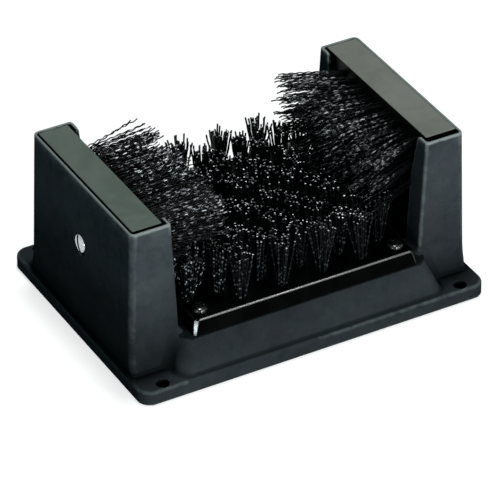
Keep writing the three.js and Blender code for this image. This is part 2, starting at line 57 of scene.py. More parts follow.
# Shape of the casting, in millimetres. X runs between the towers, Y to the back, Z up.
FLANGE = {"half_x": 152.5, "half_y": 111.0, "top": 12.0, "corner": 12.0, "edge": 2.5, "fillet": 1.6}
BOLT = {"x": 132.0, "y": 103.0, "hole": 5.0, "edge": 0.4}
TOWER = {
    "top": 137.3, "outer_foot": 149.0, "outer_top": 145.0, "inner_foot": 104.5, "inner_top": 111.0,
    "half_y_foot": 83.0, "half_y_top": 81.5, "outer_corner": 5.0, "inner_corner": 2.5, "rim": 1.0,
}
POCKET = {"inner": 113.2, "outer": 142.8, "half_y": 79.0, "corner": 2.0, "rim": 0.5}
LIP = {
    "reach_below": 62.5, "reach_top": 68.5, "taper_from": 100.0, "corner": 2.5, "blunt": 0.3, "edge": 0.8,
}
TUB = {
    "half_x": 108.15, "half_y": 94.0, "top": 37.0, "flare": 27.0, "end_flare": 20.0, "corner": 12.0, "edge": 0.9,
}
FOOT = {"bottom": 9.5, "top": 36.0, "reach": 4.5, "notch": 7.0}
UNDERSIDE = {
    "wall": 4.2, "roof": 33.0, "middle_x": 105.15, "rib": 4.0, "corner": 8.0, "bend_y": 98.34, "top_y": 91.84,
    "edge": 1.0,
}
STIFFENER = {"x": 35.0, "half": 2.0, "bottom": 25.0, "reach_x": 107.0, "reach_y": 92.0, "fillet": 1.5}
BOSS = {"x": 86.45, "y": 78.5, "radius": 6.5, "hole": 3.3, "bottom": 14.0}
SEAT = {"z": 83.0, "radius": 8.5, "hole": 3.3, "x": 146.33}
HOLE_EDGE = 0.3
# How far a cut or a rib runs past the wall that it meets
OVERLAP = 2.0
# How far out the casting's surface is looked for, just past the flange and the towers
CASTING_REACH = (155.0, 114.0, 140.0)
MOST_TRIANGLES = 170000

# How far the casting's edges are paler, from wear and a painted highlight: the rims fully, and the other edges by
# a share of their bend
WEAR_AND_HIGHLIGHT = {"rim": 1.5, "deck": 0.4, "flange": 0.6, "left_inside": 0.35}
# Where those edges are, in millimetres, and how far up a face has to look, from 0 to 1
WEAR_AND_HIGHLIGHT_PLACE = {
    "rim_band": 0.8, "faces_up": 0.5, "deck_low": 30.0, "deck_high": 40.0, "flange_high": 15.0,
    "inside_high": 128.0, "hole_margin": 4.0, "flange_margin": 3.0,
}
# Where painted shade lies on the deck and on the towers' feet, and how dark it is at the feet
PAINTED_SHADE = {"deck_band": 1.0, "faces_up": 0.3, "feet_y": 91.0, "feet_high": 42.0, "fade": 30.0, "feet": 0.45}

# Blocks, in millimetres
BLOCK_TOP = 50.0
SIDE_BLOCK_INNER = 115.9
# The bottom block's cut corners at its foot and its top, and the lean and the round of its top bevel
BLOCK_CUT = {"low": 2.0, "high": 3.4, "lean": 0.43, "fillet": 0.5}
SIDE_BLOCK = {"play": 0.05, "right_gap": 2.0}
TUFT_DEPTH = 6
BOTTOM_TUFTS = {
    "pitch": 35.5, "row_pitch": 15.6, "shift": 11.0, "first": 20.0, "reach_x": 87.96, "reach_y": 80.0,
    "rows": 11, "screw_room": 14,
}
# One more tuft stands behind the front left screw
EXTRA_TUFT = (-88.5, -64.5)
SIDE_TUFTS = {"rows": 6, "columns": 9, "low": 84.0, "high": 127.0, "reach": 60.0, "stagger": (0.75, 0.25)}

# Inputs of the brush tree that the two kinds of brush keep, in metres and radians
UPRIGHT = {
    "Hole Radius": 0.0029, "Spread": 0.14, "Scatter": 0.085, "Length Variation": 0.1, "Strand Length": 0.050,
    "Sides": 5, "Bends": 8, "Crimp Height": 0.0004, "Bow": 0.0012, "Turn": math.pi, "Root Play": 0.001,
}
CRIMPED = {
    "Hole Radius": 0.0028, "Spread": 0.12, "Scatter": 0.08, "Sides": 3, "Bends": 16, "Crimp Height": 0.0010,
    "Bow": -0.002, "Turn": 1.2, "Root Play": 0.004,
}
# The side brushes: lengths in millimetres, and how far the tufts lean, as shares of their length
SIDE_BRUSHES = {
    "left": {"sign": -1, "length": 66.0, "variation": 0.13, "fan_back": 0.22, "fan_front": 0.1, "lift": 0.02,
             "low": 0.1, "high": 0.03, "tilt": -0.06, "back_droop": 0.04, "front_lift": 0.17},
    "right": {"sign": 1, "length": 56.0, "variation": 0.09, "fan_back": 0.27, "fan_front": 0.27, "lift": 0.0,
              "low": 0.1, "high": 0.05, "tilt": 0.05, "back_droop": 0.0, "front_lift": 0.0},
}
SIDE_FAN = {"half_y": 57.0, "middle_z": 105.0, "half_z": 22.0, "front_from": 0.3}
BOTTOM_LEAN = 0.04
ROOT_DEPTH = 5
TUFT_LENGTHS = (0.93, 1.0)
# The lowest strands of the left brush's front end are worn short: those below a height and in front of a Y
WORN_SHARE = 0.5
WORN_ZONES = ((90, -35), (95, -45))

# Screws in millimetres, with each slot as (width, length, angle)
CROSS_HEAD = {"height": 3.56, "brim": 1.7, "shank": 28.0, "depth": 2.2,
              "slots": [(1.7, 7.0, 0.0), (1.7, 7.0, math.pi / 2)]}
SLOTTED_HEAD = {"height": 2.4, "brim": 0.8, "shank": 20.0, "depth": 1.25, "slots": [(2.9, 40.0, 0.0)]}
SHANK = {"radius": 3.0, "tip": 1.2, "point": 1.8}
SCREW_EDGE = {"seat": 0.3, "brim_lean": 0.4, "bevel": 0.2}


# Mesh helpers

def new_object(name, data):
    piece = bpy.data.objects.new(name, data)
    bpy.context.scene.collection.objects.link(piece)
    return piece


def mesh_from(name, points_mm, faces=()):
    mesh = bpy.data.meshes.new(name)
    mesh.from_pydata([tuple(p) for p in np.asarray(points_mm) * MM], [], [tuple(map(int, f)) for f in faces])
    mesh.update()
    return mesh


def places_of(mesh):
    """A mesh's points in metres, one a row."""
    points = np.empty(len(mesh.vertices) * 3)
    mesh.vertices.foreach_get("co", points)
    return points.reshape(-1, 3)


def move_to(mesh, points):
    mesh.vertices.foreach_set("co", points.ravel())
    mesh.update()


def mark(mesh, name, values):
    """Stores a number or a vector on each point of a mesh."""
    values = np.asarray(values, dtype=np.float32)
    kind, field = ("FLOAT", "value") if values.ndim == 1 else ("FLOAT_VECTOR", "vector")
    mesh.attributes.new(name, kind, "POINT").data.foreach_set(field, values.ravel())


def modify(piece, kind, inputs=None, **settings):
    """Runs a modifier on a piece and keeps the result as a plain mesh."""
    modifier = piece.modifiers.new(kind.lower(), kind)
    for key, value in settings.items():
        setattr(modifier, key, value)
    for key, value in (inputs or {}).items():
        modifier[key] = value
    mesh = bpy.data.meshes.new_from_object(piece.evaluated_get(bpy.context.evaluated_depsgraph_get()))
    piece.modifiers.clear()
    old, piece.data = piece.data, mesh
    mesh.name = piece.name
    if old.users == 0:
        bpy.data.meshes.remove(old)


def cut_away(piece, shape, material=None, **settings):
    """Cuts a bmesh shape out of a piece."""
    mesh = bpy.data.meshes.new("cutter")
    shape.to_mesh(mesh)
    shape.free()
    if material:
        mesh.materials.append(material)
    cutter = new_object("cutter", mesh)
    modify(piece, "BOOLEAN", operation="DIFFERENCE", object=cutter, **settings)
    bpy.data.objects.remove(cutter)


def smooth_faces(mesh, sharp_from=50):
    mesh.shade_smooth()
    mesh.set_sharp_from_angle(angle=math.radians(sharp_from))


def run_tree(piece, tree, inputs):
    """Runs a geometry tree on a piece, with the tree's inputs by name."""
    sockets = {item.name: item.identifier for item in tree.interface.items_tree if item.in_out == "INPUT"}
    modify(piece, "NODES", {sockets[name]: value for name, value in inputs.items()}, node_group=tree)
    if not piece.data.polygons:
        raise RuntimeError(f"{piece.name} came out empty")


def hand_over(piece, slot, *nodes):
    """Fixes a piece to the body, in place of its CAD nodes."""
    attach(piece, "root")
    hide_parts(*nodes)


# Distance fields: how far a point lies outside a shape, below zero inside it

def rounded_rectangle(x, y, half_x, half_y, radius):
    qx = np.abs(x) - half_x + radius
    qy = np.abs(y) - half_y + radius
    return np.minimum(np.maximum(qx, qy), 0) + np.hypot(np.maximum(qx, 0), np.maximum(qy, 0)) - radius


def join(a, b, radius):
    """Both shapes, with a hollow fillet where they meet."""
    corner = np.hypot(np.maximum(radius - a, 0), np.maximum(radius - b, 0))
    return np.maximum(radius, np.minimum(a, b)) - corner


def common(a, b, radius):
    """What two shapes share, with a rounded edge where they meet."""
    corner = np.hypot(np.maximum(radius + a, 0), np.maximum(radius + b, 0))
    return np.minimum(-radius, np.maximum(a, b)) + corner


def cut(a, b, radius):
    return common(a, -b, radius)


def mix(a, b, share):
    return a + (b - a) * share


def tower_faces(z):
    """A tower's inner face, outer face and half width at a height."""
    share = (z - FLANGE["top"]) / (TOWER["top"] - FLANGE["top"])
    return (mix(TOWER["inner_foot"], TOWER["inner_top"], share),
            mix(TOWER["outer_foot"], TOWER["outer_top"], share),
            mix(TOWER["half_y_foot"], TOWER["half_y_top"], share))


def tower_field(x, y, z):
    """A tower: a drafted block whose front and back faces curve outwards at the foot."""
    inner, outer, half_y = tower_faces(z)
    height = FOOT["top"] - FOOT["bottom"]
    left = 1 - np.clip((z - FOOT["bottom"]) / height, 0, 1)
    slope = 2 * FOOT["reach"] * left / height
    half_y = half_y + FOOT["reach"] * left ** 2
    middle = (inner + outer) / 2
    corner = np.where(x > middle, TOWER["outer_corner"], TOWER["inner_corner"])
    tower = rounded_rectangle(x - middle, y, (outer - inner) / 2, half_y, corner)
    return common(tower / np.sqrt(1 + slope ** 2), z - TOWER["top"], TOWER["rim"])


def body_field(x, y, z):
    """The tub, the towers and the flange, without their hollows."""
    fall = TUB["top"] - np.maximum(z, FLANGE["top"] - 1)
    flare = math.radians(TUB["flare"])
    tub_x = TUB["half_x"] + fall * math.tan(math.radians(TUB["end_flare"]))
    tub_y = TUB["half_y"] + fall * math.tan(flare)
    tub = rounded_rectangle(x, y, tub_x, tub_y, TUB["corner"]) * math.cos(flare)
    tub = common(tub, z - TUB["top"], TUB["edge"])
    body = join(tower_field(x, y, z), tub, FOOT["notch"])
    flange = rounded_rectangle(x, y, FLANGE["half_x"], FLANGE["half_y"], FLANGE["corner"])
    flange = common(flange, z - FLANGE["top"], FLANGE["edge"])
    return join(body, flange, FLANGE["fillet"])


def opened(body, x, y, z):
    """Cuts the towers' pockets and openings, the bolt holes and the side screws' seats."""
    pocket_x = (POCKET["inner"] + POCKET["outer"]) / 2
    pocket = rounded_rectangle(x - pocket_x, y, (POCKET["outer"] - POCKET["inner"]) / 2, POCKET["half_y"],
                               POCKET["corner"])
    body = cut(body, np.maximum(pocket, TUB["top"] - z), POCKET["rim"])

    rise = np.clip((z - LIP["taper_from"]) / (TOWER["top"] - LIP["taper_from"]), 0, 1)
    reach = mix(LIP["reach_below"], LIP["reach_top"], rise)
    over = np.clip(z - (TOWER["top"] - LIP["corner"]), 0, LIP["corner"])
    reach = reach + LIP["corner"] - np.sqrt(np.maximum(LIP["corner"] ** 2 - over ** 2, LIP["blunt"]))
    opening = np.maximum(np.maximum(y - reach, TUB["top"] - z), x - POCKET["inner"] - 1)
    body = cut(body, opening, LIP["edge"])

    body = cut(body, np.hypot(x - BOLT["x"], y - BOLT["y"]) - BOLT["hole"], BOLT["edge"])
    seat = np.hypot(y, z - SEAT["z"])
    body = cut(body, np.maximum(seat - SEAT["radius"], SEAT["x"] - x), HOLE_EDGE)
    return cut(body, np.maximum(seat - SEAT["hole"], POCKET["outer"] - OVERLAP - x), HOLE_EDGE)


def hollowed(body, x, y, z):
    """Hollows the underside, and leaves its ribs and the screws' bosses."""
    low = np.maximum(z, FLANGE["top"])
    share = (low - FLANGE["top"]) / (UNDERSIDE["roof"] - FLANGE["top"])
    middle = rounded_rectangle(x, y, UNDERSIDE["middle_x"], mix(UNDERSIDE["bend_y"], UNDERSIDE["top_y"], share),
                               UNDERSIDE["corner"])
    _, low_outer, low_y = tower_faces(low)
    x0 = UNDERSIDE["middle_x"] + UNDERSIDE["rib"]
    x1 = low_outer - UNDERSIDE["wall"]
    end = rounded_rectangle(x - (x0 + x1) / 2, y, (x1 - x0) / 2, low_y - UNDERSIDE["wall"], UNDERSIDE["corner"])
    for hollow in (middle, end):
        body = cut(body, np.maximum(hollow, z - UNDERSIDE["roof"]), UNDERSIDE["edge"])

    roof = UNDERSIDE["roof"] + OVERLAP
    ribs = np.minimum(np.maximum(x - STIFFENER["reach_x"], y - STIFFENER["half"]),
                      np.maximum(np.abs(x - STIFFENER["x"]) - STIFFENER["half"], y - STIFFENER["reach_y"]))
    ribs = np.maximum(ribs, np.maximum(STIFFENER["bottom"] - z, z - roof))
    body = join(body, ribs, STIFFENER["fillet"])
    boss = np.hypot(x - BOSS["x"], y - BOSS["y"])
    body = join(body, np.maximum(boss - BOSS["radius"], np.maximum(BOSS["bottom"] - z, z - roof)),
                STIFFENER["fillet"])
    return cut(body, np.maximum(boss - BOSS["hole"], z - TUB["top"] - OVERLAP), HOLE_EDGE)


def casting_field(x, y, z):
    x, y = np.abs(x), np.abs(y)
    body = opened(body_field(x, y, z), x, y, z)
    return np.maximum(hollowed(body, x, y, z), -z)


def field_slope(field, points, step=0.05):
    slope = np.empty_like(points)
    for axis in range(3):
        ahead, behind = points.copy(), points.copy()
        ahead[:, axis] += step
        behind[:, axis] -= step
        slope[:, axis] = (field(*ahead.T) - field(*behind.T)) / (2 * step)
    return slope


def settle(field, points, rounds=3, most=0.6):
    """Moves points onto the surface of a field."""
    for _ in range(rounds):
        slope = field_slope(field, points)
        size = np.maximum((slope ** 2).sum(axis=1), 0.05)
        move = np.clip(field(*points.T) / size, -most, most)
        points = points - slope * move[:, None]
    return points


def surface_net(field, reach, bottom, pitch):
    """A closed mesh of quads over a field that is the same on both sides of X and of Y."""
    half = [(np.arange(math.ceil(reach[a] / pitch)) + 0.5) * pitch for a in range(2)]
    heights = np.arange(bottom, reach[2], pitch)
    origin = (-half[0][-1], -half[1][-1], heights[0])
    quarter = field(*np.meshgrid(*half, heights, indexing="ij"))
    values = np.concatenate((quarter[::-1], quarter))
    values = np.concatenate((values[:, ::-1], values), axis=1)
    inside = values < 0

    corners = [(i, j, k) for i in (0, 1) for j in (0, 1) for k in (0, 1)]
    shape = [n - 1 for n in values.shape]
    count = sum(inside[i:i + shape[0], j:j + shape[1], k:k + shape[2]].astype(np.int8) for i, j, k in corners)
    cells = np.argwhere((count > 0) & (count < 8))
    index = np.full(shape, -1, dtype=np.int64)
    index[tuple(cells.T)] = np.arange(len(cells))

    # Each cell's point lies at the mean of the places where its edges cross the surface
    total = np.zeros((len(cells), 3))
    crossings = np.zeros(len(cells))
    for near in corners:
        for axis in range(3):
            if near[axis]:
                continue
            far = list(near)
            far[axis] = 1
            v_near = values[tuple((cells + near).T)]
            v_far = values[tuple((cells + far).T)]
            crossed = (v_near < 0) != (v_far < 0)
            part = np.where(crossed, v_near / np.where(crossed, v_near - v_far, 1), 0)
            place = np.array(near, dtype=float) + part[:, None] * np.eye(3)[axis]
            total += np.where(crossed[:, None], place, 0)
            crossings += crossed
    points = np.array(origin) + (cells + total / crossings[:, None]) * pitch

    quads = []
    for axis in range(3):
        u, v = (axis + 1) % 3, (axis + 2) % 3
        first = [slice(None)] * 3
        second = [slice(None)] * 3
        first[axis], second[axis] = slice(None, -1), slice(1, None)
        starts = np.argwhere(inside[tuple(first)] != inside[tuple(second)])
        starts = starts[(starts[:, u] > 0) & (starts[:, v] > 0)
                        & (starts[:, u] < shape[u]) & (starts[:, v] < shape[v])]
        ring = []
        for du, dv in ((-1, -1), (0, -1), (0, 0), (-1, 0)):
            cell = starts.copy()
            cell[:, u] += du
            cell[:, v] += dv
            ring.append(index[tuple(cell.T)])
        ring = np.stack(ring, axis=1)
        leaving = inside[tuple(starts.T)]
        quads.append(np.where(leaving[:, None], ring, ring[:, ::-1]))
    return points, np.concatenate(quads)


def smooth_by_field(mesh, field):
    """Gives a mesh the field's own normals, and finds its edges, creases and hollows."""
    points = places_of(mesh) / MM
    slope = field_slope(field, points, 0.12)
    normals = slope / np.maximum(np.linalg.norm(slope, axis=1), 1e-6)[:, None]
    mesh.shade_smooth()
    mesh.normals_split_custom_set_from_vertices([tuple(n) for n in normals])
    reach = 1.4
    bend = -6 * field(*points.T)
    for axis in range(3):
        for sign in (-reach, reach):
            moved = points.copy()
            moved[:, axis] += sign
            bend += field(*moved.T)
    closed = np.zeros(len(points))
    for away in (4.0, 9.0, 18.0):
        closed += np.clip(1 - field(*(points + normals * away).T) / away, 0, 1) / 3
    return points, normals, bend / reach, closed


# Materials

def linear(shade):
    """A grey level, an sRGB hex colour or a linear colour, as linear red, green, blue and alpha."""
    if isinstance(shade, str):
        parts = [int(shade[i:i + 2], 16) / 255 for i in (1, 3, 5)]
        return tuple(p / 12.92 if p <= 0.04045 else ((p + 0.055) / 1.055) ** 2.4 for p in parts) + (1.0,)
    return (shade, shade, shade, 1.0) if isinstance(shade, float) else tuple(shade)


def add(tree, kind, *inputs, output=None, stops=(), **settings):
    """Adds a node with its settings and links, and gives back its named output, or else its first one.
    Inputs come in order, or by name in a dict, as plain values, hex colours or outputs of other nodes."""
    node = tree.nodes.new(kind)
    for key, value in settings.items():
        setattr(node, key, value)
    named = inputs[-1] if inputs and isinstance(inputs[-1], dict) else {}
    live = [socket for socket in node.inputs if socket.enabled]
    pairs = list(zip(live, inputs[:-1] if named else inputs))
    for socket, value in pairs + [(node.inputs[key], value) for key, value in named.items()]:
        if isinstance(value, bpy.types.NodeSocket):
            tree.links.new(value, socket)
        else:
            is_colour = isinstance(value, str) and value.startswith("#")
            socket.default_value = linear(value) if is_colour else value
    if stops:
        elements = node.color_ramp.elements
        while len(elements) < len(stops):
            elements.new(0.5)
        for element, (place, shade) in zip(elements, stops):
            element.position = place
            element.color = linear(shade)
    return node.outputs[output] if output else next((out for out in node.outputs if out.enabled), None)


def new_material(name):
    material = bpy.data.materials.new(name)
    material.use_nodes = True
    material.node_tree.nodes.clear()
    return material, material.node_tree


def powder_coat():
    """Powder-coated cast metal: a matte charcoal skin with a fine pebbled grain, paler on edges from wear and a
    painted highlight, and darker towards the ground and in creases and hollows, where shade is painted."""
    look = bpy.context.scene.boot_scraper_casting
    material, tree = new_material("powder_coated_casting")
    where = add(tree, "ShaderNodeTexCoord", output="Object")
    x, _, z = add(tree, "ShaderNodeSeparateXYZ", where).node.outputs
    # The powder's grain is under 0.5 mm, too fine to show here, so it is drawn at 0.9 mm. Blotches are about
    # 7 mm and bluer patches 15 mm, and the tone drifts over about 40 mm as the coat's thickness varies.
    grain, blotch, patch, drift = (
        add(tree, "ShaderNodeTexNoise", {"Vector": where, "Scale": 1 / size, "Detail": detail, "Roughness": rough})
        for size, detail, rough in ((0.0009, 3.0, 0.6), (0.007, 4.0, 0.6), (0.015, 2.0, 0.5), (0.04, 2.0, 0.5)))
    tone = add(tree, "ShaderNodeMath", drift, 0.4, operation="MULTIPLY")
    for noise in (blotch, grain):
        tone = add(tree, "ShaderNodeMath", noise, 0.3, tone, operation="MULTIPLY_ADD")
    base = add(tree, "ShaderNodeValToRGB", tone, stops=[(0.38, look.dark), (0.62, look.light)])
    bluer = add(tree, "ShaderNodeValToRGB", patch, stops=[(0.45, 0.0), (0.65, 0.6)])
    base = add(tree, "ShaderNodeMix", bluer, base, look.blue, data_type="RGBA")
    # Faint specks of under 1 mm where the coat is thin, 11 mm apart
    specks = add(tree, "ShaderNodeTexVoronoi", {"Vector": where, "Scale": 1 / 0.011, "Randomness": 1.0})
    specks = add(tree, "ShaderNodeValToRGB", specks, stops=[(0.03, 0.5), (0.06, 0.0)])
    base = add(tree, "ShaderNodeMix", specks, base, look.crease, data_type="RGBA")
    # Painted shade: the lower part is darker, most of all at 37 to 50 mm, and less so towards +X, above the
    # flange.
    # Painted light: the whole casting is a little paler at its -X end.
    height = add(tree, "ShaderNodeMath", z, 0.14, operation="DIVIDE")
    painted_light = add(tree, "ShaderNodeValToRGB", height, stops=[
        (0.0, look.flange), (0.1, look.flange), (0.26, look.foot), (0.36, look.foot * 1.1), (0.62, 0.9),
        (0.8, 1.0)])
    beyond = add(tree, "ShaderNodeMath", x, 0.0, operation="MAXIMUM")
    above = add(tree, "ShaderNodeValToRGB", height, stops=[(0.1, 0.0), (0.16, 2.8)])
    less = add(tree, "ShaderNodeMath", beyond, above, operation="MULTIPLY")
    less = add(tree, "ShaderNodeMath", 1.0, less, operation="SUBTRACT")
    low_shade = add(tree, "ShaderNodeMath", painted_light, -1.0, 1.0, operation="MULTIPLY_ADD")
    low_shade = add(tree, "ShaderNodeMath", low_shade, less, operation="MULTIPLY")
    painted_light = add(tree, "ShaderNodeMath", 1.0, low_shade, operation="SUBTRACT")
    ends = add(tree, "ShaderNodeMath", x, -0.75, 1.0, operation="MULTIPLY_ADD")
    painted_light = add(tree, "ShaderNodeMath", painted_light, ends, operation="MULTIPLY")
    base = add(tree, "ShaderNodeVectorMath", base, painted_light, operation="SCALE")
    # Edges are paler, partly from rubbing and partly as a painted highlight, and the rims of the towers most of
    # all
    rub_and_highlight = add(tree, "ShaderNodeAttribute", attribute_name="worn_edge", output="Fac")
    rub_and_highlight = add(tree, "ShaderNodeMath", rub_and_highlight, blotch, operation="MULTIPLY")
    rub_and_highlight = add(tree, "ShaderNodeValToRGB", rub_and_highlight, stops=[(0.08, 0.0), (0.5, 1.0)])
    rubbed = add(tree, "ShaderNodeValToRGB", height, stops=[(0.92, look.worn), (0.965, look.rim)])
    base = add(tree, "ShaderNodeMix", rub_and_highlight, base, rubbed, data_type="RGBA")
    # Painted shade in creases and hollows
    crease = add(tree, "ShaderNodeAttribute", attribute_name="crease", output="Fac")
    hollow = add(tree, "ShaderNodeAttribute", attribute_name="hollow", output="Fac")
    deep = add(tree, "ShaderNodeMath", hollow, 1.9, crease, operation="MULTIPLY_ADD", use_clamp=True)
    deep = add(tree, "ShaderNodeValToRGB", deep, stops=[(0.15, 0.0), (0.95, 0.93)])
    base = add(tree, "ShaderNodeMix", deep, base, look.crease, data_type="RGBA")
    rough = add(tree, "ShaderNodeValToRGB", grain, stops=[(0.3, 0.5), (0.7, 0.66)])
    bump = add(tree, "ShaderNodeBump", {"Strength": 0.5, "Distance": 0.00015, "Height": grain})
    shader = add(tree, "ShaderNodeBsdfPrincipled",
                 {"Base Color": base, "Roughness": rough, "Normal": bump, "Specular IOR Level": look.sheen})
    add(tree, "ShaderNodeOutputMaterial", shader)
    return material


def moulded_plastic(name, dark, light, roughness, level, uneven=1.3, dulling=0.0):
    """Injection-moulded black plastic: a smooth skin with faint flow marks and a thin haze of dust.
    The gloss is uneven by the named share, and dulls by the named roughness a metre towards +X."""
    material, tree = new_material(name)
    where = add(tree, "ShaderNodeTexCoord", output="Object")
    # Flow marks some 25 mm long, and dust specks of about 1 mm
    flow = add(tree, "ShaderNodeTexNoise", {"Vector": where, "Scale": 1 / 0.025, "Detail": 3.0, "Distortion": 0.6})
    dust = add(tree, "ShaderNodeTexNoise", {"Vector": where, "Scale": 1 / 0.001, "Detail": 2.0})
    base = add(tree, "ShaderNodeValToRGB", flow, stops=[(0.35, dark), (0.65, light)])
    haze = add(tree, "ShaderNodeMath", dust, 0.3, flow, operation="MULTIPLY_ADD")
    rough = add(tree, "ShaderNodeValToRGB", haze, stops=[(0.4, roughness * 0.8), (0.9, roughness * uneven)])
    along = add(tree, "ShaderNodeSeparateXYZ", where, output="X")
    beyond = add(tree, "ShaderNodeMath", along, 0.0, operation="MAXIMUM")
    rough = add(tree, "ShaderNodeMath", beyond, dulling, rough, operation="MULTIPLY_ADD", use_clamp=True)
    bump = add(tree, "ShaderNodeBump", {"Strength": 0.08, "Distance": 0.00005, "Height": dust})
    shader = add(tree, "ShaderNodeBsdfPrincipled",
                 {"Base Color": base, "Roughness": rough, "Normal": bump, "Specular IOR Level": level})
    add(tree, "ShaderNodeOutputMaterial", shader)
    return material


def crimp_painted_glints(tree, place):
    """Painted glints on the outer bends of a crimped strand: short ones low on the left brush, long ones on the
    right brush, and none beside a block, where no light falls."""
    x, y, z = place
    on_left = add(tree, "ShaderNodeMath", x, 0.0, operation="LESS_THAN")
    rise = add(tree, "ShaderNodeMapRange", z, 0.094, 0.128, 0.0, 1.0, interpolation_type="SMOOTHSTEP")
    shift = add(tree, "ShaderNodeMath", rise, 0.24, -0.14, operation="MULTIPLY_ADD")
    shift = add(tree, "ShaderNodeMix", on_left, 0.2, shift, data_type="FLOAT")
    crest = add(tree, "ShaderNodeAttribute", attribute_name="crest", output="Fac")
    crest = add(tree, "ShaderNodeMath", crest, shift, operation="ADD")
    lit = add(tree, "ShaderNodeValToRGB", crest, stops=[(0.52, 0.0), (0.7, 1.0)])
    dim = add(tree, "ShaderNodeMix", on_left, 0.09, 0.0, data_type="FLOAT")
    lit = add(tree, "ShaderNodeMath", lit, dim, operation="MAXIMUM")
    # How near the block a place is; the right brush's low strands lie in its shade further out
    near = add(tree, "ShaderNodeMath", x, operation="ABSOLUTE")
    beyond = add(tree, "ShaderNodeMath", x, 0.0, operation="MAXIMUM")
    under = add(tree, "ShaderNodeMath", z, -9.0, 1.17, operation="MULTIPLY_ADD")
    near = add(tree, "ShaderNodeMath", beyond, under, near, operation="MULTIPLY_ADD")
    clear = add(tree, "ShaderNodeMapRange", near, 0.095, 0.108, 1.0, 0.0, interpolation_type="SMOOTHSTEP")
    left = add(tree, "ShaderNodeMath", rise, 0.82, 0.08, operation="MULTIPLY_ADD")
    right = add(tree, "ShaderNodeMath", rise, 0.42, 0.14, operation="MULTIPLY_ADD")
    level = add(tree, "ShaderNodeMix", on_left, right, left, data_type="FLOAT")
    back = add(tree, "ShaderNodeMapRange", y, -0.06, -0.01, 0.62, 1.0, interpolation_type="SMOOTHSTEP")
    for share in (back, lit, clear):
        level = add(tree, "ShaderNodeMath", level, share, operation="MULTIPLY")
    return level


def upright_painted_glints(tree, place):
    """Painted glints in small waves 4.5 mm long up a straight strand, brighter towards one end of the brush."""
    x, _, z = place
    strand = add(tree, "ShaderNodeAttribute", attribute_name="strand_tone", output="Fac")
    wave = add(tree, "ShaderNodeMath", z, 0.0045, operation="DIVIDE")
    wave = add(tree, "ShaderNodeMath", strand, 37.0, wave, operation="MULTIPLY_ADD")
    wave = add(tree, "ShaderNodeMath", wave, operation="FRACT")
    lit = add(tree, "ShaderNodeValToRGB", wave, stops=[(0.0, 0.0), (0.15, 1.0), (0.35, 1.0), (0.5, 0.0)])
    end = add(tree, "ShaderNodeMapRange", x, -0.085, -0.045, 0.68, 0.08, interpolation_type="SMOOTHSTEP")
    return add(tree, "ShaderNodeMath", lit, end, operation="MULTIPLY")


def drawn_fibre(name, painted_glints, glint_colour, mark_size, gap):
    """Nylon monofilament: black strands with a painted glint on the crest of each wave."""
    material, tree = new_material(name)
    where = add(tree, "ShaderNodeTexCoord", output="Object")
    place = add(tree, "ShaderNodeSeparateXYZ", where).node.outputs
    strand = add(tree, "ShaderNodeAttribute", attribute_name="strand_tone", output="Fac")
    base = add(tree, "ShaderNodeValToRGB", strand, stops=[(0.1, "#030404"), (0.9, "#0c0f11")])
    # Marks of the named size leave the painted glint off some crests
    marks = add(tree, "ShaderNodeTexNoise", {"Vector": where, "Scale": 1 / mark_size, "Detail": 2.0})
    some = add(tree, "ShaderNodeValToRGB", marks, stops=[(gap, 0.0), (gap + 0.08, 1.0)])
    share = add(tree, "ShaderNodeMath", painted_glints(tree, place), some, operation="MULTIPLY")
    bright = add(tree, "ShaderNodeMath", strand, 0.8, 0.2, operation="MULTIPLY_ADD")
    share = add(tree, "ShaderNodeMath", share, bright, operation="MULTIPLY")
    base = add(tree, "ShaderNodeMix", share, base, glint_colour, data_type="RGBA")
    rough = add(tree, "ShaderNodeValToRGB", marks, stops=[(0.3, 0.25), (0.7, 0.42)])
    shader = add(tree, "ShaderNodeBsdfPrincipled",
                 {"Base Color": base, "Roughness": rough, "Specular IOR Level": 0.05})
    add(tree, "ShaderNodeOutputMaterial", shader)
    return material


def cut_fibre():
    """Cut ends of the strands, pale as a painted glint, some more than others, and darker beside the left brush
    as painted shade."""
    material, tree = new_material("cut_fibre_ends")
    where = add(tree, "ShaderNodeTexCoord", output="Object")
    x = add(tree, "ShaderNodeSeparateXYZ", where, output="X")
    # Painted shade darkens the ends towards -X, beside the left brush
    painted_light = add(tree, "ShaderNodeMapRange", x, -0.07, -0.02, 0.3, 1.0, interpolation_type="SMOOTHSTEP")
    strand = add(tree, "ShaderNodeAttribute", attribute_name="strand_tone", output="Fac")
    # The palest ends are a painted glint
    base = add(tree, "ShaderNodeValToRGB", strand, stops=[(0.3, "#0d0f10"), (0.6, "#5c6163"), (1.0, "#e6e8e9")])
    base = add(tree, "ShaderNodeVectorMath", base, painted_light, operation="SCALE")
    rough = add(tree, "ShaderNodeValToRGB", strand, stops=[(0.0, 0.3), (1.0, 0.5)])
    shader = add(tree, "ShaderNodeBsdfPrincipled", {"Base Color": base, "Roughness": rough})
    add(tree, "ShaderNodeOutputMaterial", shader)
    return material


def plated_steel(name, colour, roughness, metallic, level=0.5):
    """Plated or blackened steel: turned marks under a thin coat, with small uneven patches."""
    material, tree = new_material(name)
    where = add(tree, "ShaderNodeTexCoord", output="Object")
    # Patches of about 3 mm
    patch = add(tree, "ShaderNodeTexNoise", {"Vector": where, "Scale": 1 / 0.003, "Detail": 3.0})
    light = linear(colour)
    dark = tuple(c * 0.75 for c in light[:3]) + (1.0,)
    base = add(tree, "ShaderNodeValToRGB", patch, stops=[(0.35, dark), (0.65, light)])
    rough = add(tree, "ShaderNodeValToRGB", patch, stops=[(0.3, roughness * 0.8), (0.7, roughness * 1.3)])
    shader = add(tree, "ShaderNodeBsdfPrincipled",
                 {"Base Color": base, "Roughness": rough, "Metallic": metallic, "Specular IOR Level": level})
    add(tree, "ShaderNodeOutputMaterial", shader)
    return material


# Settings that a user would change

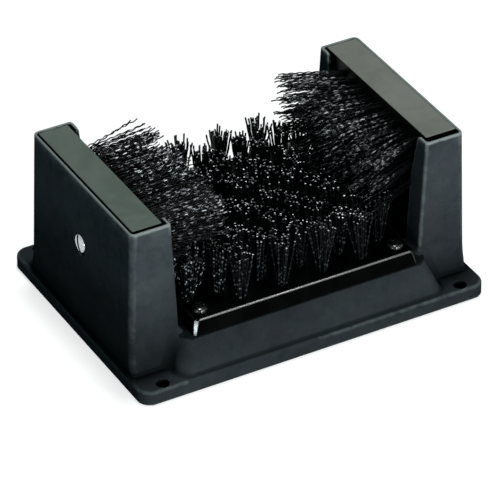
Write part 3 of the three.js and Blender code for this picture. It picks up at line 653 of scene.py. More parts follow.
def length_setting(name, description, default):
    """A size in metres, which Blender shows in the scene's own unit."""
    return bpy.props.FloatProperty(name=name, description=description, default=default, subtype="DISTANCE",
                                   unit="LENGTH")


def share_setting(name, description, default):
    return bpy.props.FloatProperty(name=name, description=description, default=default, min=0, max=1,
                                   subtype="FACTOR")


def colour_setting(name, description, default):
    return bpy.props.FloatVectorProperty(name=name, description=description, default=linear(default), size=4,
                                         min=0, max=1, subtype="COLOR")


def light_setting(lamp, default):
    return bpy.props.FloatProperty(name=f"{lamp.title()} Light", default=default, min=0,
                                   description=f"Brightness that the {lamp} light gives a white card")


class CastingSettings(bpy.types.PropertyGroup):
    pitch: bpy.props.FloatProperty(name="Mesh Pitch", default=1.3, min=0.8, max=4.0,
                                   description="Cell size of the casting's mesh, in millimetres")
    dark: colour_setting("Coat Shade", "Darker colour of the coat", "#2a3033")
    light: colour_setting("Coat Colour", "Lighter colour of the coat", "#3a4143")
    blue: colour_setting("Blue Patches", "Colour of the coat's bluer patches", "#35383f")
    # Worn Edge and Worn Rim are paler partly from wear and partly as a painted highlight
    worn: colour_setting("Worn Edge", "Colour of rubbed edges", "#586260")
    rim: colour_setting("Worn Rim", "Colour of the towers' rubbed rims", "#727a78")
    # Crease is the painted shade in creases and hollows, and also the colour of the coat's specks
    crease: colour_setting("Crease", "Colour in the creases", "#0a0f10")
    # Foot Tone and Flange Tone set the painted shade low on the casting
    foot: share_setting("Foot Tone", "Tone at the towers' feet, as a share of the coat's own", 0.42)
    flange: share_setting("Flange Tone", "Tone of the flange, as a share of the coat's own", 0.52)
    sheen: share_setting("Sheen", "How much the coat mirrors", 0.0)


class BlockSettings(bpy.types.PropertyGroup):
    edge: length_setting("Top Edge", "Height of the bevel round the bottom block's top", 0.0015)
    draft: length_setting("Draft", "How far the bottom block's sides lean in at the top", 0.0025)
    foot_chamfer: length_setting("Foot Chamfer", "Chamfer at the bottom block's foot", 0.0006)
    edge_gain: length_setting("Edge Gain", "How much nearer the rim of the deck the block runs", 0.0006)
    side_edge: length_setting("Side Block Edge", "Radius of the side blocks' edges", 0.0008)
    back_gap: length_setting("Back Gap", "Gap where a side block meets its tower", 0.0004)
    hole: length_setting("Tuft Hole", "Diameter of a tuft's hole", 0.0062)


class BrushSettings(bpy.types.PropertyGroup):
    bottom_strands: bpy.props.IntProperty(name="Bottom Strands", description="Strands in a bottom tuft",
                                          default=29, min=1)
    bottom_diameter: length_setting("Bottom Strand", "Diameter of a bottom strand", 0.0015)
    side_strands: bpy.props.IntProperty(name="Side Strands", description="Strands in a side tuft",
                                        default=11, min=1)
    side_diameter: length_setting("Side Strand", "Diameter of a side strand", 0.0012)
    seed: bpy.props.IntProperty(name="Seed", description="Seed of every strand's lean and length", default=7)


class ScrewSettings(bpy.types.PropertyGroup):
    bottom_head: length_setting("Bottom Head", "Diameter of a bottom screw's head", 0.014)
    side_head: length_setting("Side Head", "Diameter of a side screw's head", 0.015)


class StageSettings(bpy.types.PropertyGroup):
    front: light_setting("front", 0.85)
    edge: light_setting("edge", 0.4)
    top: light_setting("top", 0.8)
    strip: light_setting("strip", 0.07)
    ambient: share_setting("Room Light", "Strength of the light from all round", 0.12)
    floor: colour_setting("Floor", "Colour of the floor", "#a0a1a1")
    lift: share_setting("Floor Glow", "What the floor adds to itself as a background", 0.74)


# Casting

def mark_wear_and_painted_light(mesh, points, normals, bend, closed):
    """Marks where the casting's edges are rubbed and take a painted highlight, where it creases, and where painted
    shade lies.
    """
    x, y, z = np.abs(points[:, 0]), np.abs(points[:, 1]), points[:, 2]
    up = normals[:, 2]
    by_hole = ((np.hypot(x - BOLT["x"], y - BOLT["y"]) < BOLT["hole"] + WEAR_AND_HIGHLIGHT_PLACE["hole_margin"])
               & (y < FLANGE["half_y"] - WEAR_AND_HIGHLIGHT_PLACE["flange_margin"]))
    rim = (z > TOWER["top"] - WEAR_AND_HIGHLIGHT_PLACE["rim_band"]) & (up > WEAR_AND_HIGHLIGHT_PLACE["faces_up"])
    shares = (
        ((z < WEAR_AND_HIGHLIGHT_PLACE["deck_high"]) & (z > WEAR_AND_HIGHLIGHT_PLACE["deck_low"]), WEAR_AND_HIGHLIGHT["deck"]),
        (z < WEAR_AND_HIGHLIGHT_PLACE["flange_high"], WEAR_AND_HIGHLIGHT["flange"]),
        ((points[:, 0] < 0) & (x < POCKET["inner"]) & (z < WEAR_AND_HIGHLIGHT_PLACE["inside_high"]), WEAR_AND_HIGHLIGHT["left_inside"]),
    )
    edges = np.where(rim, WEAR_AND_HIGHLIGHT["rim"], np.where(by_hole, 0, np.clip(bend, 0, WEAR_AND_HIGHLIGHT["rim"])))
    for where, share in shares:
        edges = np.where(where, share * edges, edges)
    # Painted shade lies on the deck round the bottom block, over the tub's rim and on the towers' feet
    deck = (np.abs(z - TUB["top"]) < PAINTED_SHADE["deck_band"]) & (x < TUB["half_x"]) & (up > PAINTED_SHADE["faces_up"])
    feet = (x > TOWER["inner_foot"]) & (y < PAINTED_SHADE["feet_y"]) & (z > FLANGE["top"] - 1) & (np.abs(up) < 0.8)
    low_shade = PAINTED_SHADE["feet"] * np.clip((PAINTED_SHADE["feet_high"] - z) / PAINTED_SHADE["fade"], 0, 1)
    closed = np.maximum(closed, np.where(feet, low_shade, 0))
    # These marks carry edge wear with a painted highlight, and painted shade in creases and hollows
    mark(mesh, "worn_edge", edges)
    mark(mesh, "crease", np.clip(-bend, 0, 1.5))
    mark(mesh, "hollow", np.where(deck, 1.0, closed))


class BOOTSCRAPER_OT_casting(bpy.types.Operator):
    """Build the cast base with its two towers"""
    bl_idname = "boot_scraper.casting"
    bl_label = "Casting"

    def execute(self, context):
        pitch = context.scene.boot_scraper_casting.pitch
        points, quads = surface_net(casting_field, CASTING_REACH, -0.7 * pitch, pitch)
        mesh = mesh_from("base_casting", settle(casting_field, points), quads)
        piece = new_object("base_casting", mesh)
        mesh.calc_loop_triangles()
        modify(piece, "DECIMATE", ratio=min(1.0, MOST_TRIANGLES / len(mesh.loop_triangles)))
        mesh = piece.data
        move_to(mesh, settle(casting_field, places_of(mesh) / MM, rounds=2, most=0.2) * MM)
        mark_wear_and_painted_light(mesh, *smooth_by_field(mesh, casting_field))
        mesh.materials.append(powder_coat())
        hand_over(piece, "casting", "base_frame")
        return {"FINISHED"}


# Blocks

def bottom_tufts():
    """Places of the bottom tufts: rows that each step further left than the one before."""
    pitch = BOTTOM_TUFTS["pitch"]
    places = []
    for row in range(BOTTOM_TUFTS["rows"]):
        y = row * BOTTOM_TUFTS["row_pitch"] - BOTTOM_TUFTS["reach_y"]
        start = BOTTOM_TUFTS["first"] - row * BOTTOM_TUFTS["shift"]
        first = math.ceil((-BOTTOM_TUFTS["reach_x"] - start) / pitch)
        last = math.floor((BOTTOM_TUFTS["reach_x"] - start) / pitch)
        for column in range(first, last + 1):
            x = start + column * pitch
            if max(abs(abs(x) - BOSS["x"]), abs(abs(y) - BOSS["y"])) >= BOTTOM_TUFTS["screw_room"]:
                places.append((x, y))
    return places + [EXTRA_TUFT]


def side_tufts():
    """Places of a side block's tufts as (y, z), in rows that are staggered."""
    rows, columns, reach = SIDE_TUFTS["rows"], SIDE_TUFTS["columns"], SIDE_TUFTS["reach"]
    return [(mix(-reach, reach, (column + SIDE_TUFTS["stagger"][row % 2]) / columns),
             mix(SIDE_TUFTS["low"], SIDE_TUFTS["high"], row / (rows - 1)))
            for row in range(rows) for column in range(columns)]


def block_outline(half_x, half_y, cut_off, z, steps=6):
    """One outline of the bottom block: a rectangle with its corners cut off, as points going round."""
    points = []
    for quarter in range(4):
        sx = 1 if quarter in (0, 3) else -1
        sy = 1 if quarter in (0, 1) else -1
        for step in range(steps + 1):
            share = step / steps if quarter % 2 == 0 else 1 - step / steps
            points.append((sx * (half_x - cut_off * share), sy * (half_y - cut_off * (1 - share)), z))
    return points


def bottom_block_mesh(name, half_x, half_y, z0, z1, settings):
    """The bottom block: its sides lean in, its corners are cut off and its top edge is bevelled."""
    edge, chamfer, draft = settings.edge / MM, settings.foot_chamfer / MM, settings.draft / MM
    low_cut, high_cut, lean, fillet = (BLOCK_CUT[key] for key in ("low", "high", "lean", "fillet"))
    share = 1 - edge / (z1 - z0)
    inset = draft * share
    rise = edge - fillet
    levels = [(chamfer * 0.4, low_cut, z0), (0.0, low_cut, z0 + chamfer),
              (inset, mix(low_cut, high_cut, share), z1 - edge), (inset + lean * rise, high_cut, z1 - fillet)]
    for turn in map(math.radians, (30, 60, 90)):
        levels.append((inset + lean * rise + fillet * (1 - math.cos(turn)), high_cut,
                       z1 - fillet * (1 - math.sin(turn))))
    rings = [block_outline(half_x - inset, half_y - inset, cut_off, z) for inset, cut_off, z in levels]
    count = len(rings[0])
    last = (len(rings) - 1) * count
    faces = []
    for start in range(0, last, count):
        for i in range(start, start + count):
            j = start + (i + 1) % count
            faces.append((i, j, j + count, i + count))
    faces += [tuple(reversed(range(count))), tuple(range(last, last + count))]
    mesh = mesh_from(name, sum(rings, []), faces)
    # The bevel and the corners have finishes of their own
    corner = count // 4
    flat_sides = {corner * quarter + corner - 1 for quarter in range(4)}
    for polygon in mesh.polygons[:last]:
        level, side = divmod(polygon.index, count)
        if level > 1:
            polygon.material_index = 1 if side in flat_sides else 0
        elif level == 1 and side not in flat_sides:
            polygon.material_index = 2
    return mesh


def side_block_mesh(name, low, high, edge):
    work = bmesh.new()
    bmesh.ops.create_cube(work, size=1.0)
    for vertex in work.verts:
        for axis in range(3):
            vertex.co[axis] = (high if vertex.co[axis] > 0 else low)[axis] * MM
    bmesh.ops.bevel(work, geom=work.edges[:], offset=edge, segments=3, profile=0.5, affect="EDGES")
    mesh = bpy.data.meshes.new(name)
    work.to_mesh(mesh)
    work.free()
    # Faces that look up take the top's material, whose paler colour is a painted sheen
    for polygon in mesh.polygons:
        if polygon.normal.z > 0.6:
            polygon.material_index = 1
    return mesh


class BOOTSCRAPER_OT_blocks(bpy.types.Operator):
    """Build the three brush blocks with a hole for each tuft"""
    bl_idname = "boot_scraper.blocks"
    bl_label = "Brush Blocks"

    def build(self, mesh, materials, tufts, direction, radius, node):
        """Gives a block its materials, drills a round hole at each tuft, and softens its edges."""
        for material in materials:
            mesh.materials.append(material)
        piece = new_object(mesh.name, mesh)
        drill = bmesh.new()
        turn = Vector((0, 0, 1)).rotation_difference(Vector(direction)).to_matrix().to_4x4()
        for place in tufts:
            bmesh.ops.create_cone(drill, cap_ends=True, segments=14, radius1=radius, radius2=radius,
                                  depth=2 * TUFT_DEPTH * MM, matrix=Matrix.Translation(Vector(place) * MM) @ turn)
        cut_away(piece, drill, materials[0], solver="MANIFOLD")
        smooth_faces(piece.data)
        modify(piece, "WEIGHTED_NORMAL", keep_sharp=True, weight=100)
        hand_over(piece, "block", node)

    def execute(self, context):
        settings = context.scene.boot_scraper_block
        radius = settings.hole / 2
        gloss = moulded_plastic("moulded_block_gloss", "#010101", "#040505", 0.14, 0.012)
        bevel = moulded_plastic("moulded_block_rubbed_bevel", "#020303", "#0a0c0c", 0.22, 0.6, uneven=2.0,
                                dulling=2.6)
        corner = moulded_plastic("moulded_block_burnished_corner", "#020303", "#0a0c0c", 0.15, 0.5)
        satin = moulded_plastic("moulded_block_satin", "#080a09", "#0f1211", 0.35, 0.05)
        # The tops' paler colours are a painted sheen, brighter on the right block
        tops = {"left": moulded_plastic("moulded_block_dusty_top", "#4b554f", "#57605a", 0.5, 0.05),
                "right": moulded_plastic("moulded_block_pale_top", "#62655f", "#6e706b", 0.5, 0.05)}

        low, high = [[c / MM for c in point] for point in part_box("bottom_brush_block")]
        half_x = (high[0] - low[0]) / 2
        half_y = (high[1] - low[1]) / 2 + settings.edge_gain / MM
        mesh = bottom_block_mesh("bottom_block", half_x, half_y, low[2], high[2], settings)
        tufts = [(x, y, high[2]) for x, y in bottom_tufts()]
        self.build(mesh, (gloss, bevel, corner), tufts, (0, 0, 1), radius, "bottom_brush_block")

        for side, sign in (("left", -1), ("right", 1)):
            low, high = [[c / MM for c in point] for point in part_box(f"{side}_brush_block")]
            high[1] = POCKET["half_y"] - settings.back_gap / MM
            if side == "right":
                high[0] = POCKET["outer"] - SIDE_BLOCK["play"]
                low[1] += SIDE_BLOCK["right_gap"]
            mesh = side_block_mesh(f"{side}_block", low, high, settings.side_edge)
            tufts = [(sign * SIDE_BLOCK_INNER, y, z) for y, z in side_tufts()]
            self.build(mesh, (satin, tops[side]), tufts, (1, 0, 0), radius, f"{side}_brush_block")
        return {"FINISHED"}


# Bristles

def new_tree(name, inputs):
    """A geometry tree with named inputs, and those inputs' sockets."""
    tree = bpy.data.node_groups.new(name, "GeometryNodeTree")
    for way in ("INPUT", "OUTPUT"):
        tree.interface.new_socket("Geometry", in_out=way, socket_type="NodeSocketGeometry")
    for kind, names in inputs.items():
        for key in names:
            tree.interface.new_socket(key, in_out="INPUT", socket_type=f"NodeSocket{kind}")
    return tree, add(tree, "NodeGroupInput").node.outputs


def brush_tree():
    """Geometry tree that plants a bundle of strands on each point, along the point's direction."""
    tree, give = new_tree("brush_tufts", {
        "Int": ("Strands", "Sides", "Bends", "Seed"),
        "Float": ("Hole Radius", "Spread", "Scatter", "Length Variation", "Strand Length", "Strand Radius",
                  "Crimp Height", "Bow", "Turn", "Root Play"),
        "Material": ("Fibre", "Cut End")})

    # One strand, standing on the origin
    top = add(tree, "ShaderNodeCombineXYZ", {"Z": give["Strand Length"]})
    line = add(tree, "GeometryNodeCurvePrimitiveLine", {"End": top})
    count = add(tree, "ShaderNodeMath", give["Bends"], 1.0, operation="ADD")
    curve = add(tree, "GeometryNodeResampleCurve", {"Curve": line, "Count": count})
    odd = add(tree, "ShaderNodeMath", add(tree, "GeometryNodeInputIndex"), 2.0, operation="MODULO")
    wave = add(tree, "ShaderNodeMath", odd, give["Crimp Height"], operation="MULTIPLY")
    along = add(tree, "GeometryNodeSplineParameter", output="Factor")
    bow = add(tree, "ShaderNodeMath", along, 2.0, operation="POWER")
    bow = add(tree, "ShaderNodeMath", bow, give["Bow"], operation="MULTIPLY")
    offset = add(tree, "ShaderNodeCombineXYZ", wave, bow)
    bent = add(tree, "GeometryNodeSetPosition", {"Geometry": curve, "Offset": offset})
    crested = add(tree, "GeometryNodeStoreNamedAttribute", {"Geometry": bent, "Name": "crest", "Value": odd},
                  data_type="FLOAT", domain="POINT")
    ring = add(tree, "GeometryNodeCurvePrimitiveCircle",
               {"Resolution": give["Sides"], "Radius": give["Strand Radius"]})
    strand = add(tree, "GeometryNodeCurveToMesh", {"Curve": crested, "Profile Curve": ring, "Fill Caps": True})
    height = add(tree, "ShaderNodeSeparateXYZ", add(tree, "GeometryNodeInputPosition"), output="Z")
    limit = add(tree, "ShaderNodeMath", give["Strand Length"], 0.995, operation="MULTIPLY")
    at_end = add(tree, "ShaderNodeMath", height, limit, operation="GREATER_THAN")
    strand = add(tree, "GeometryNodeSetShadeSmooth", {"Geometry": strand})
    strand = add(tree, "GeometryNodeSetMaterial", {"Geometry": strand, "Material": give["Fibre"]})
    strand = add(tree, "GeometryNodeSetMaterial",
                 {"Geometry": strand, "Selection": at_end, "Material": give["Cut End"]})
    strand = add(tree, "GeometryNodeSetShadeSmooth",
                 {"Geometry": strand, "Selection": at_end, "Shade Smooth": False})

    # Strands of each tuft stand on a sunflower pattern in its hole
    golden_angle = 2.39996
    points = add(tree, "GeometryNodeMeshToPoints", {"Mesh": give["Geometry"]})
    copies = add(tree, "GeometryNodeDuplicateElements", {"Geometry": points, "Amount": give["Strands"]},
                 domain="POINT")
    number = copies.node.outputs["Duplicate Index"]
    share = add(tree, "ShaderNodeMath", number, 0.5, operation="ADD")
    share = add(tree, "ShaderNodeMath", share, give["Strands"], operation="DIVIDE")
    share = add(tree, "ShaderNodeMath", share, operation="SQRT")
    loose = add(tree, "FunctionNodeRandomValue", -0.5, 0.5, {"Seed": give["Seed"]}, data_type="FLOAT")
    angle = add(tree, "ShaderNodeMath", number, golden_angle, loose, operation="MULTIPLY_ADD")
    axis_u, axis_v, aim = (add(tree, "GeometryNodeInputNamedAttribute", name, data_type="FLOAT_VECTOR")
                           for name in ("axis_u", "axis_v", "aim"))
    parts = []
    for axis, trigonometry in ((axis_u, "COSINE"), (axis_v, "SINE")):
        across = add(tree, "ShaderNodeMath", angle, operation=trigonometry)
        across = add(tree, "ShaderNodeMath", across, share, operation="MULTIPLY")
        parts.append(add(tree, "ShaderNodeVectorMath", axis, across, operation="SCALE"))
    out = add(tree, "ShaderNodeVectorMath", *parts, operation="ADD")

    # Each random draw has a seed of its own
    seeds = {use: add(tree, "ShaderNodeMath", give["Seed"], step, operation="ADD")
             for use, step in (("toss", 11.0), ("spin", 23.0), ("length", 37.0), ("tone", 51.0), ("root", 67.0))}
    depth = add(tree, "FunctionNodeRandomValue", -1.0, 1.0, {"Seed": seeds["root"]}, data_type="FLOAT")
    depth = add(tree, "ShaderNodeMath", depth, give["Root Play"], operation="MULTIPLY")
    sunk = add(tree, "ShaderNodeVectorMath", aim, depth, operation="SCALE")
    step = add(tree, "ShaderNodeVectorMath", out, give["Hole Radius"], operation="SCALE")
    step = add(tree, "ShaderNodeVectorMath", step, sunk, operation="ADD")
    placed = add(tree, "GeometryNodeSetPosition", {"Geometry": copies, "Offset": step})

    # Each strand leans outwards, and a little at random, and is turned and stretched at random
    lean = add(tree, "ShaderNodeVectorMath", out, give["Spread"], operation="SCALE")
    toss = add(tree, "FunctionNodeRandomValue", (-1.0, -1.0, -1.0), (1.0, 1.0, 1.0), {"Seed": seeds["toss"]},
               data_type="FLOAT_VECTOR")
    toss = add(tree, "ShaderNodeVectorMath", toss, give["Scatter"], operation="SCALE")
    aimed = add(tree, "ShaderNodeVectorMath", aim, lean, operation="ADD")
    aimed = add(tree, "ShaderNodeVectorMath", aimed, toss, operation="ADD")
    upright = add(tree, "FunctionNodeAlignRotationToVector", {"Vector": aimed}, axis="Z")
    least = add(tree, "ShaderNodeMath", give["Turn"], -1.0, operation="MULTIPLY")
    spin = add(tree, "FunctionNodeRandomValue", least, give["Turn"], {"Seed": seeds["spin"]}, data_type="FLOAT")
    spin = add(tree, "FunctionNodeAxisAngleToRotation", {"Axis": (0.0, 0.0, 1.0), "Angle": spin})
    turned = add(tree, "FunctionNodeRotateRotation", {"Rotation": upright, "Rotate By": spin},
                 rotation_space="LOCAL")
    least = add(tree, "ShaderNodeMath", 1.0, give["Length Variation"], operation="SUBTRACT")
    vary = add(tree, "FunctionNodeRandomValue", least, 1.0, {"Seed": seeds["length"]}, data_type="FLOAT")
    reach = add(tree, "GeometryNodeInputNamedAttribute", "reach", data_type="FLOAT")
    stretch = add(tree, "ShaderNodeMath", vary, reach, operation="MULTIPLY")
    size = add(tree, "ShaderNodeCombineXYZ", 1.0, 1.0, stretch)
    planted = add(tree, "GeometryNodeInstanceOnPoints",
                  {"Points": placed, "Instance": strand, "Rotation": turned, "Scale": size})
    tone = add(tree, "FunctionNodeRandomValue", {"Seed": seeds["tone"]}, data_type="FLOAT")
    planted = add(tree, "GeometryNodeStoreNamedAttribute",
                  {"Geometry": planted, "Name": "strand_tone", "Value": tone}, data_type="FLOAT",
                  domain="INSTANCE")
    add(tree, "NodeGroupOutput", add(tree, "GeometryNodeRealizeInstances", planted))
    return tree


def keep_under(mesh, per_strand, limit):
    """Bends down each strand that rises above a height in metres."""
    points = places_of(mesh)
    strands = points.reshape(-1, per_strand, 3)
    root = strands[:, 0, 2]
    top = strands[:, :, 2].max(axis=1)
    share = np.where(top > limit, (limit - root) / np.maximum(top - root, 1e-6), 1.0)
    strands[:, :, 2] = root[:, None] + (strands[:, :, 2] - root[:, None]) * share[:, None]
    move_to(mesh, points)


def side_aim(brush, y, z):
    """Which way a side tuft points: the tufts fan out, and rise or droop towards the ends of the brush."""
    across = y / SIDE_FAN["half_y"]
    rise = (z - SIDE_FAN["middle_z"]) / SIDE_FAN["half_z"]
    low, high = min(rise, 0), max(rise, 0)
    front = max(-across - SIDE_FAN["front_from"], 0)
    fan = brush["fan_back"] if y > 0 else brush["fan_front"]
    return (-brush["sign"], fan * across,
            brush["lift"] + brush["low"] * low + brush["high"] * high + brush["tilt"] * across
            - brush["back_droop"] * max(across, 0) - brush["front_lift"] * front * low)


class BOOTSCRAPER_OT_bristles(bpy.types.Operator):
    """Plant the bottom bristles and the crimped side bristles"""
    bl_idname = "boot_scraper.bristles"
    bl_label = "Bristles"

    def plant(self, name, tufts, axes, inputs, tree, fibre, node):
        """Grows a brush on its tufts, each a place, an aim and the share of the full length."""
        places, aims, reaches = zip(*tufts)
        mesh = mesh_from(name, places)
        for key, values in (("aim", aims), ("axis_u", [axes[0]] * len(tufts)), ("axis_v", [axes[1]] * len(tufts)),
                            ("reach", reaches)):
            mark(mesh, key, values)
        piece = new_object(name, mesh)
        run_tree(piece, tree, {**inputs, "Fibre": fibre[0], "Cut End": fibre[1]})
        keep_under(piece.data, inputs["Sides"] * (inputs["Bends"] + 1), (TOWER["top"] - 0.3) * MM)
        hand_over(piece, "bristle", node)

    def execute(self, context):
        settings = context.scene.boot_scraper_brush
        tree = brush_tree()
        # The pale colours are the painted glints of the two kinds of strand
        upright = drawn_fibre("drawn_nylon_fibre", upright_painted_glints, "#dde4e8", 0.004, 0.5)
        crimped = drawn_fibre("crimped_nylon_fibre", crimp_painted_glints, "#edf2f6", 0.006, 0.49)
        ends = cut_fibre()
        chance = np.random.default_rng(settings.seed)

        tufts = []
        for x, y in bottom_tufts():
            aim = (chance.normal(0, BOTTOM_LEAN), chance.normal(0, BOTTOM_LEAN), 1.0)
            tufts.append(((x, y, BLOCK_TOP - ROOT_DEPTH), aim, chance.uniform(*TUFT_LENGTHS)))
        inputs = {**UPRIGHT, "Strands": settings.bottom_strands, "Strand Radius": settings.bottom_diameter / 2,
                  "Seed": settings.seed}
        self.plant("bottom_brush", tufts, ((1, 0, 0), (0, 1, 0)), inputs, tree, (upright, ends),
                   "bottom_bristles")

        for side, brush in SIDE_BRUSHES.items():
            sign = brush["sign"]
            tufts = []
            for y, z in side_tufts():
                is_worn = side == "left" and any(z < top and y < front for top, front in WORN_ZONES)
                reach = (WORN_SHARE if is_worn else 1.0) * chance.uniform(*TUFT_LENGTHS)
                tufts.append(((sign * (SIDE_BLOCK_INNER + ROOT_DEPTH), y, z), side_aim(brush, y, z), reach))
            inputs = {**CRIMPED, "Strands": settings.side_strands, "Strand Radius": settings.side_diameter / 2,
                      "Length Variation": brush["variation"], "Seed": settings.seed + 100 + sign,
                      "Strand Length": (brush["length"] + ROOT_DEPTH) * MM}
            self.plant(f"{side}_brush", tufts, ((0, 1, 0), (0, 0, 1)), inputs, tree, (crimped, ends),
                       f"{side}_bristles")
        return {"FINISHED"}


# Screws

def lathe(profile, sides=32):
    """A closed turned body about Z through (radius, height) points in millimetres, from pole to pole."""
    points, faces, rings = [], [], []
    for radius, height in profile:
        count = sides if radius > 0 else 1
        rings.append([len(points) + i for i in range(count)])
        for i in range(count):
            angle = 2 * math.pi * i / sides
            points.append((radius * math.cos(angle), radius * math.sin(angle), height))
    for lower, upper in zip(rings, rings[1:]):
        for i in range(sides):
            j = (i + 1) % sides
            if len(lower) == 1:
                faces.append((lower[0], upper[j], upper[i]))
            elif len(upper) == 1:
                faces.append((lower[i], lower[j], upper[0]))
            else:
                faces.append((lower[i], lower[j], upper[j], upper[i]))
    return points, faces


def screw_shape(name, head, shape):
    """One screw with a domed head and straight slots cut in it, standing with its seat at the origin."""
    radius, seat = head / MM / 2, SCREW_EDGE["seat"]
    height, brim, shank, depth = (shape[key] for key in ("height", "brim", "shank", "depth"))
    shoulder = radius - SCREW_EDGE["brim_lean"] * (brim - seat)
    dome = [(shoulder * math.cos(a), mix(brim, height, math.sin(a))) for a in np.linspace(0, math.pi / 2, 9)]
    profile = [(0, -shank), (SHANK["tip"], -shank), (SHANK["radius"], -shank + SHANK["point"]),
               (SHANK["radius"], 0), (radius - seat, 0), (radius, seat), (shoulder, brim), *dome[1:-1],
               (0, height)]
    piece = new_object(name, mesh_from(name, *lathe(profile)))
    slots = bmesh.new()
    for width, length, angle in shape["slots"]:
        box = Matrix.Diagonal((length * MM, width * MM, 2 * depth * MM, 1.0))
        bmesh.ops.create_cube(slots, size=1.0, matrix=Matrix.Rotation(angle, 4, "Z")
                              @ Matrix.Translation((0, 0, height * MM)) @ box)
    cut_away(piece, slots, solver="EXACT", use_self=True)
    modify(piece, "BEVEL", width=SCREW_EDGE["bevel"] * MM, segments=2, angle_limit=math.radians(40))
    layer = piece.data.attributes.new("slot", "FLOAT", "FACE")
    margin = 0.02
    for polygon in piece.data.polygons:
        x, y, z = polygon.center / MM
        for width, length, angle in shape["slots"]:
            across = abs(y * math.cos(angle) - x * math.sin(angle))
            along = abs(x * math.cos(angle) + y * math.sin(angle))
            if across < width / 2 + margin and along < length / 2 + margin and z > height - depth - margin:
                layer.data[polygon.index].value = 1.0
    smooth_faces(piece.data)
    return piece


def screw_tree():
    """Geometry tree that sets a copy of one screw on each point, turned as the point says."""
    tree, give = new_tree("set_screws", {"Object": ("Screw",), "Material": ("Coat", "Slot")})
    shape = add(tree, "GeometryNodeObjectInfo", {"Object": give["Screw"]}, output="Geometry")
    turn = add(tree, "GeometryNodeInputNamedAttribute", "turn", data_type="FLOAT_VECTOR")
    turn = add(tree, "FunctionNodeEulerToRotation", turn)
    points = add(tree, "GeometryNodeMeshToPoints", {"Mesh": give["Geometry"]})
    screws = add(tree, "GeometryNodeInstanceOnPoints", {"Points": points, "Instance": shape, "Rotation": turn})
    screws = add(tree, "GeometryNodeRealizeInstances", screws)
    screws = add(tree, "GeometryNodeSetMaterial", {"Geometry": screws, "Material": give["Coat"]})
    in_slot = add(tree, "GeometryNodeInputNamedAttribute", "slot", data_type="FLOAT")
    in_slot = add(tree, "ShaderNodeMath", in_slot, 0.5, operation="GREATER_THAN")
    screws = add(tree, "GeometryNodeSetMaterial",
                 {"Geometry": screws, "Selection": in_slot, "Material": give["Slot"]})
    add(tree, "NodeGroupOutput", screws)
    return tree


class BOOTSCRAPER_OT_screws(bpy.types.Operator):
    """Set the four bottom screws and the two side screws"""
    bl_idname = "boot_scraper.screws"
    bl_label = "Screws"

    def place(self, name, places, turns, tree, inputs, slot, nodes):
        """Sets a copy of a screw at each place, and removes the one they are copied from."""
        mesh = mesh_from(name, places)
        mark(mesh, "turn", turns)
        piece = new_object(name, mesh)
        run_tree(piece, tree, inputs)
        bpy.data.objects.remove(inputs["Screw"])
        hand_over(piece, slot, *nodes)

    def execute(self, context):
        settings = context.scene.boot_scraper_screw
        tree = screw_tree()
        cross = screw_shape("cross_screw", settings.bottom_head, CROSS_HEAD)
        slotted = screw_shape("slotted_screw", settings.side_head, SLOTTED_HEAD)
        black = plated_steel("blackened_steel", "#050606", 0.16, 0.0, 0.4)
        zinc = plated_steel("bright_zinc_plate", "#c2c7c9", 0.2, 1.0)
        # The slots are darker inside
        dark_slot = plated_steel("grimed_screw_slot", "#16191a", 0.6, 0.0, 0.1)

        corners = ((-1, -1), (1, -1), (-1, 1), (1, 1))
        self.place("bottom_screws", [(sx * BOSS["x"], sy * BOSS["y"], BLOCK_TOP) for sx, sy in corners],
                   [(0, 0, 0.4 + 0.9 * sx + 0.5 * sy) for sx, sy in corners],
                   tree, {"Screw": cross, "Coat": black, "Slot": dark_slot}, "black_screw",
                   ["bottom_screw_front_left", "bottom_screw_front_right",
                    "bottom_screw_rear_left", "bottom_screw_rear_right"])

        slot = Vector((0, 0.34, 1)).normalized()
        turns = []
        for out in (Vector((-1, 0, 0)), Vector((1, 0, 0))):
            turns.append(tuple(Matrix((slot, out.cross(slot), out)).transposed().to_euler()))
        self.place("side_screws", [(sx * SEAT["x"], 0, SEAT["z"]) for sx in (-1, 1)], turns,
                   tree, {"Screw": slotted, "Coat": zinc, "Slot": dark_slot}, "zinc_screw",
                   ["left_side_screw", "right_side_screw"])
        return {"FINISHED"}


# Stage

# Each light: its direction from the object, distance and size in metres, and colour
LIGHTS = {
    "front": ((-0.02, -0.99, 0.13), 2.4, (0.5, 0.5), "#ffffff"),
    "edge": ((0.40, -0.91, 0.13), 2.4, (0.4, 0.4), "#ffffff"),
    "top": ((0.08, 0.10, 0.99), 2.2, (0.35, 0.35), "#ffffff"),
    "strip": ((-0.8465, -0.5323, 0.045), 2.2, (0.12, 0.18), "#dff1f3"),
}
# Where the lights aim, in metres
LIT_POINT = (0, 0, 0.06)
ROOM_COLOUR = "#58bcc8"
# Half the floor's width, in millimetres
FLOOR_HALF = 3000.0

# The camera: its place in metres, its angles in degrees, and its focal length in pixels of the square picture
CAMERA = {"place": (-1.26513, -2.25558, 1.81800), "azimuth": -29.32, "elevation": 34.70, "focal": 4007.1,
          "picture": 500, "sensor": 36.0, "sees_to": 20.0}


def area_light(name, direction, distance, size, colour, brightness):
    """A soft box that gives a white card facing it the named brightness."""
    aim = Vector(LIT_POINT)
    place = aim + Vector(direction).normalized() * distance
    lamp = bpy.data.lights.new(name, "AREA")
    lamp.shape = "RECTANGLE"
    lamp.size, lamp.size_y = size
    lamp.energy = brightness * math.pi ** 2 * distance ** 2
    lamp.color = linear(colour)[:3]
    piece = new_object(name, lamp)
    piece.location = place
    piece.rotation_euler = (place - aim).to_track_quat("Z", "Y").to_euler()


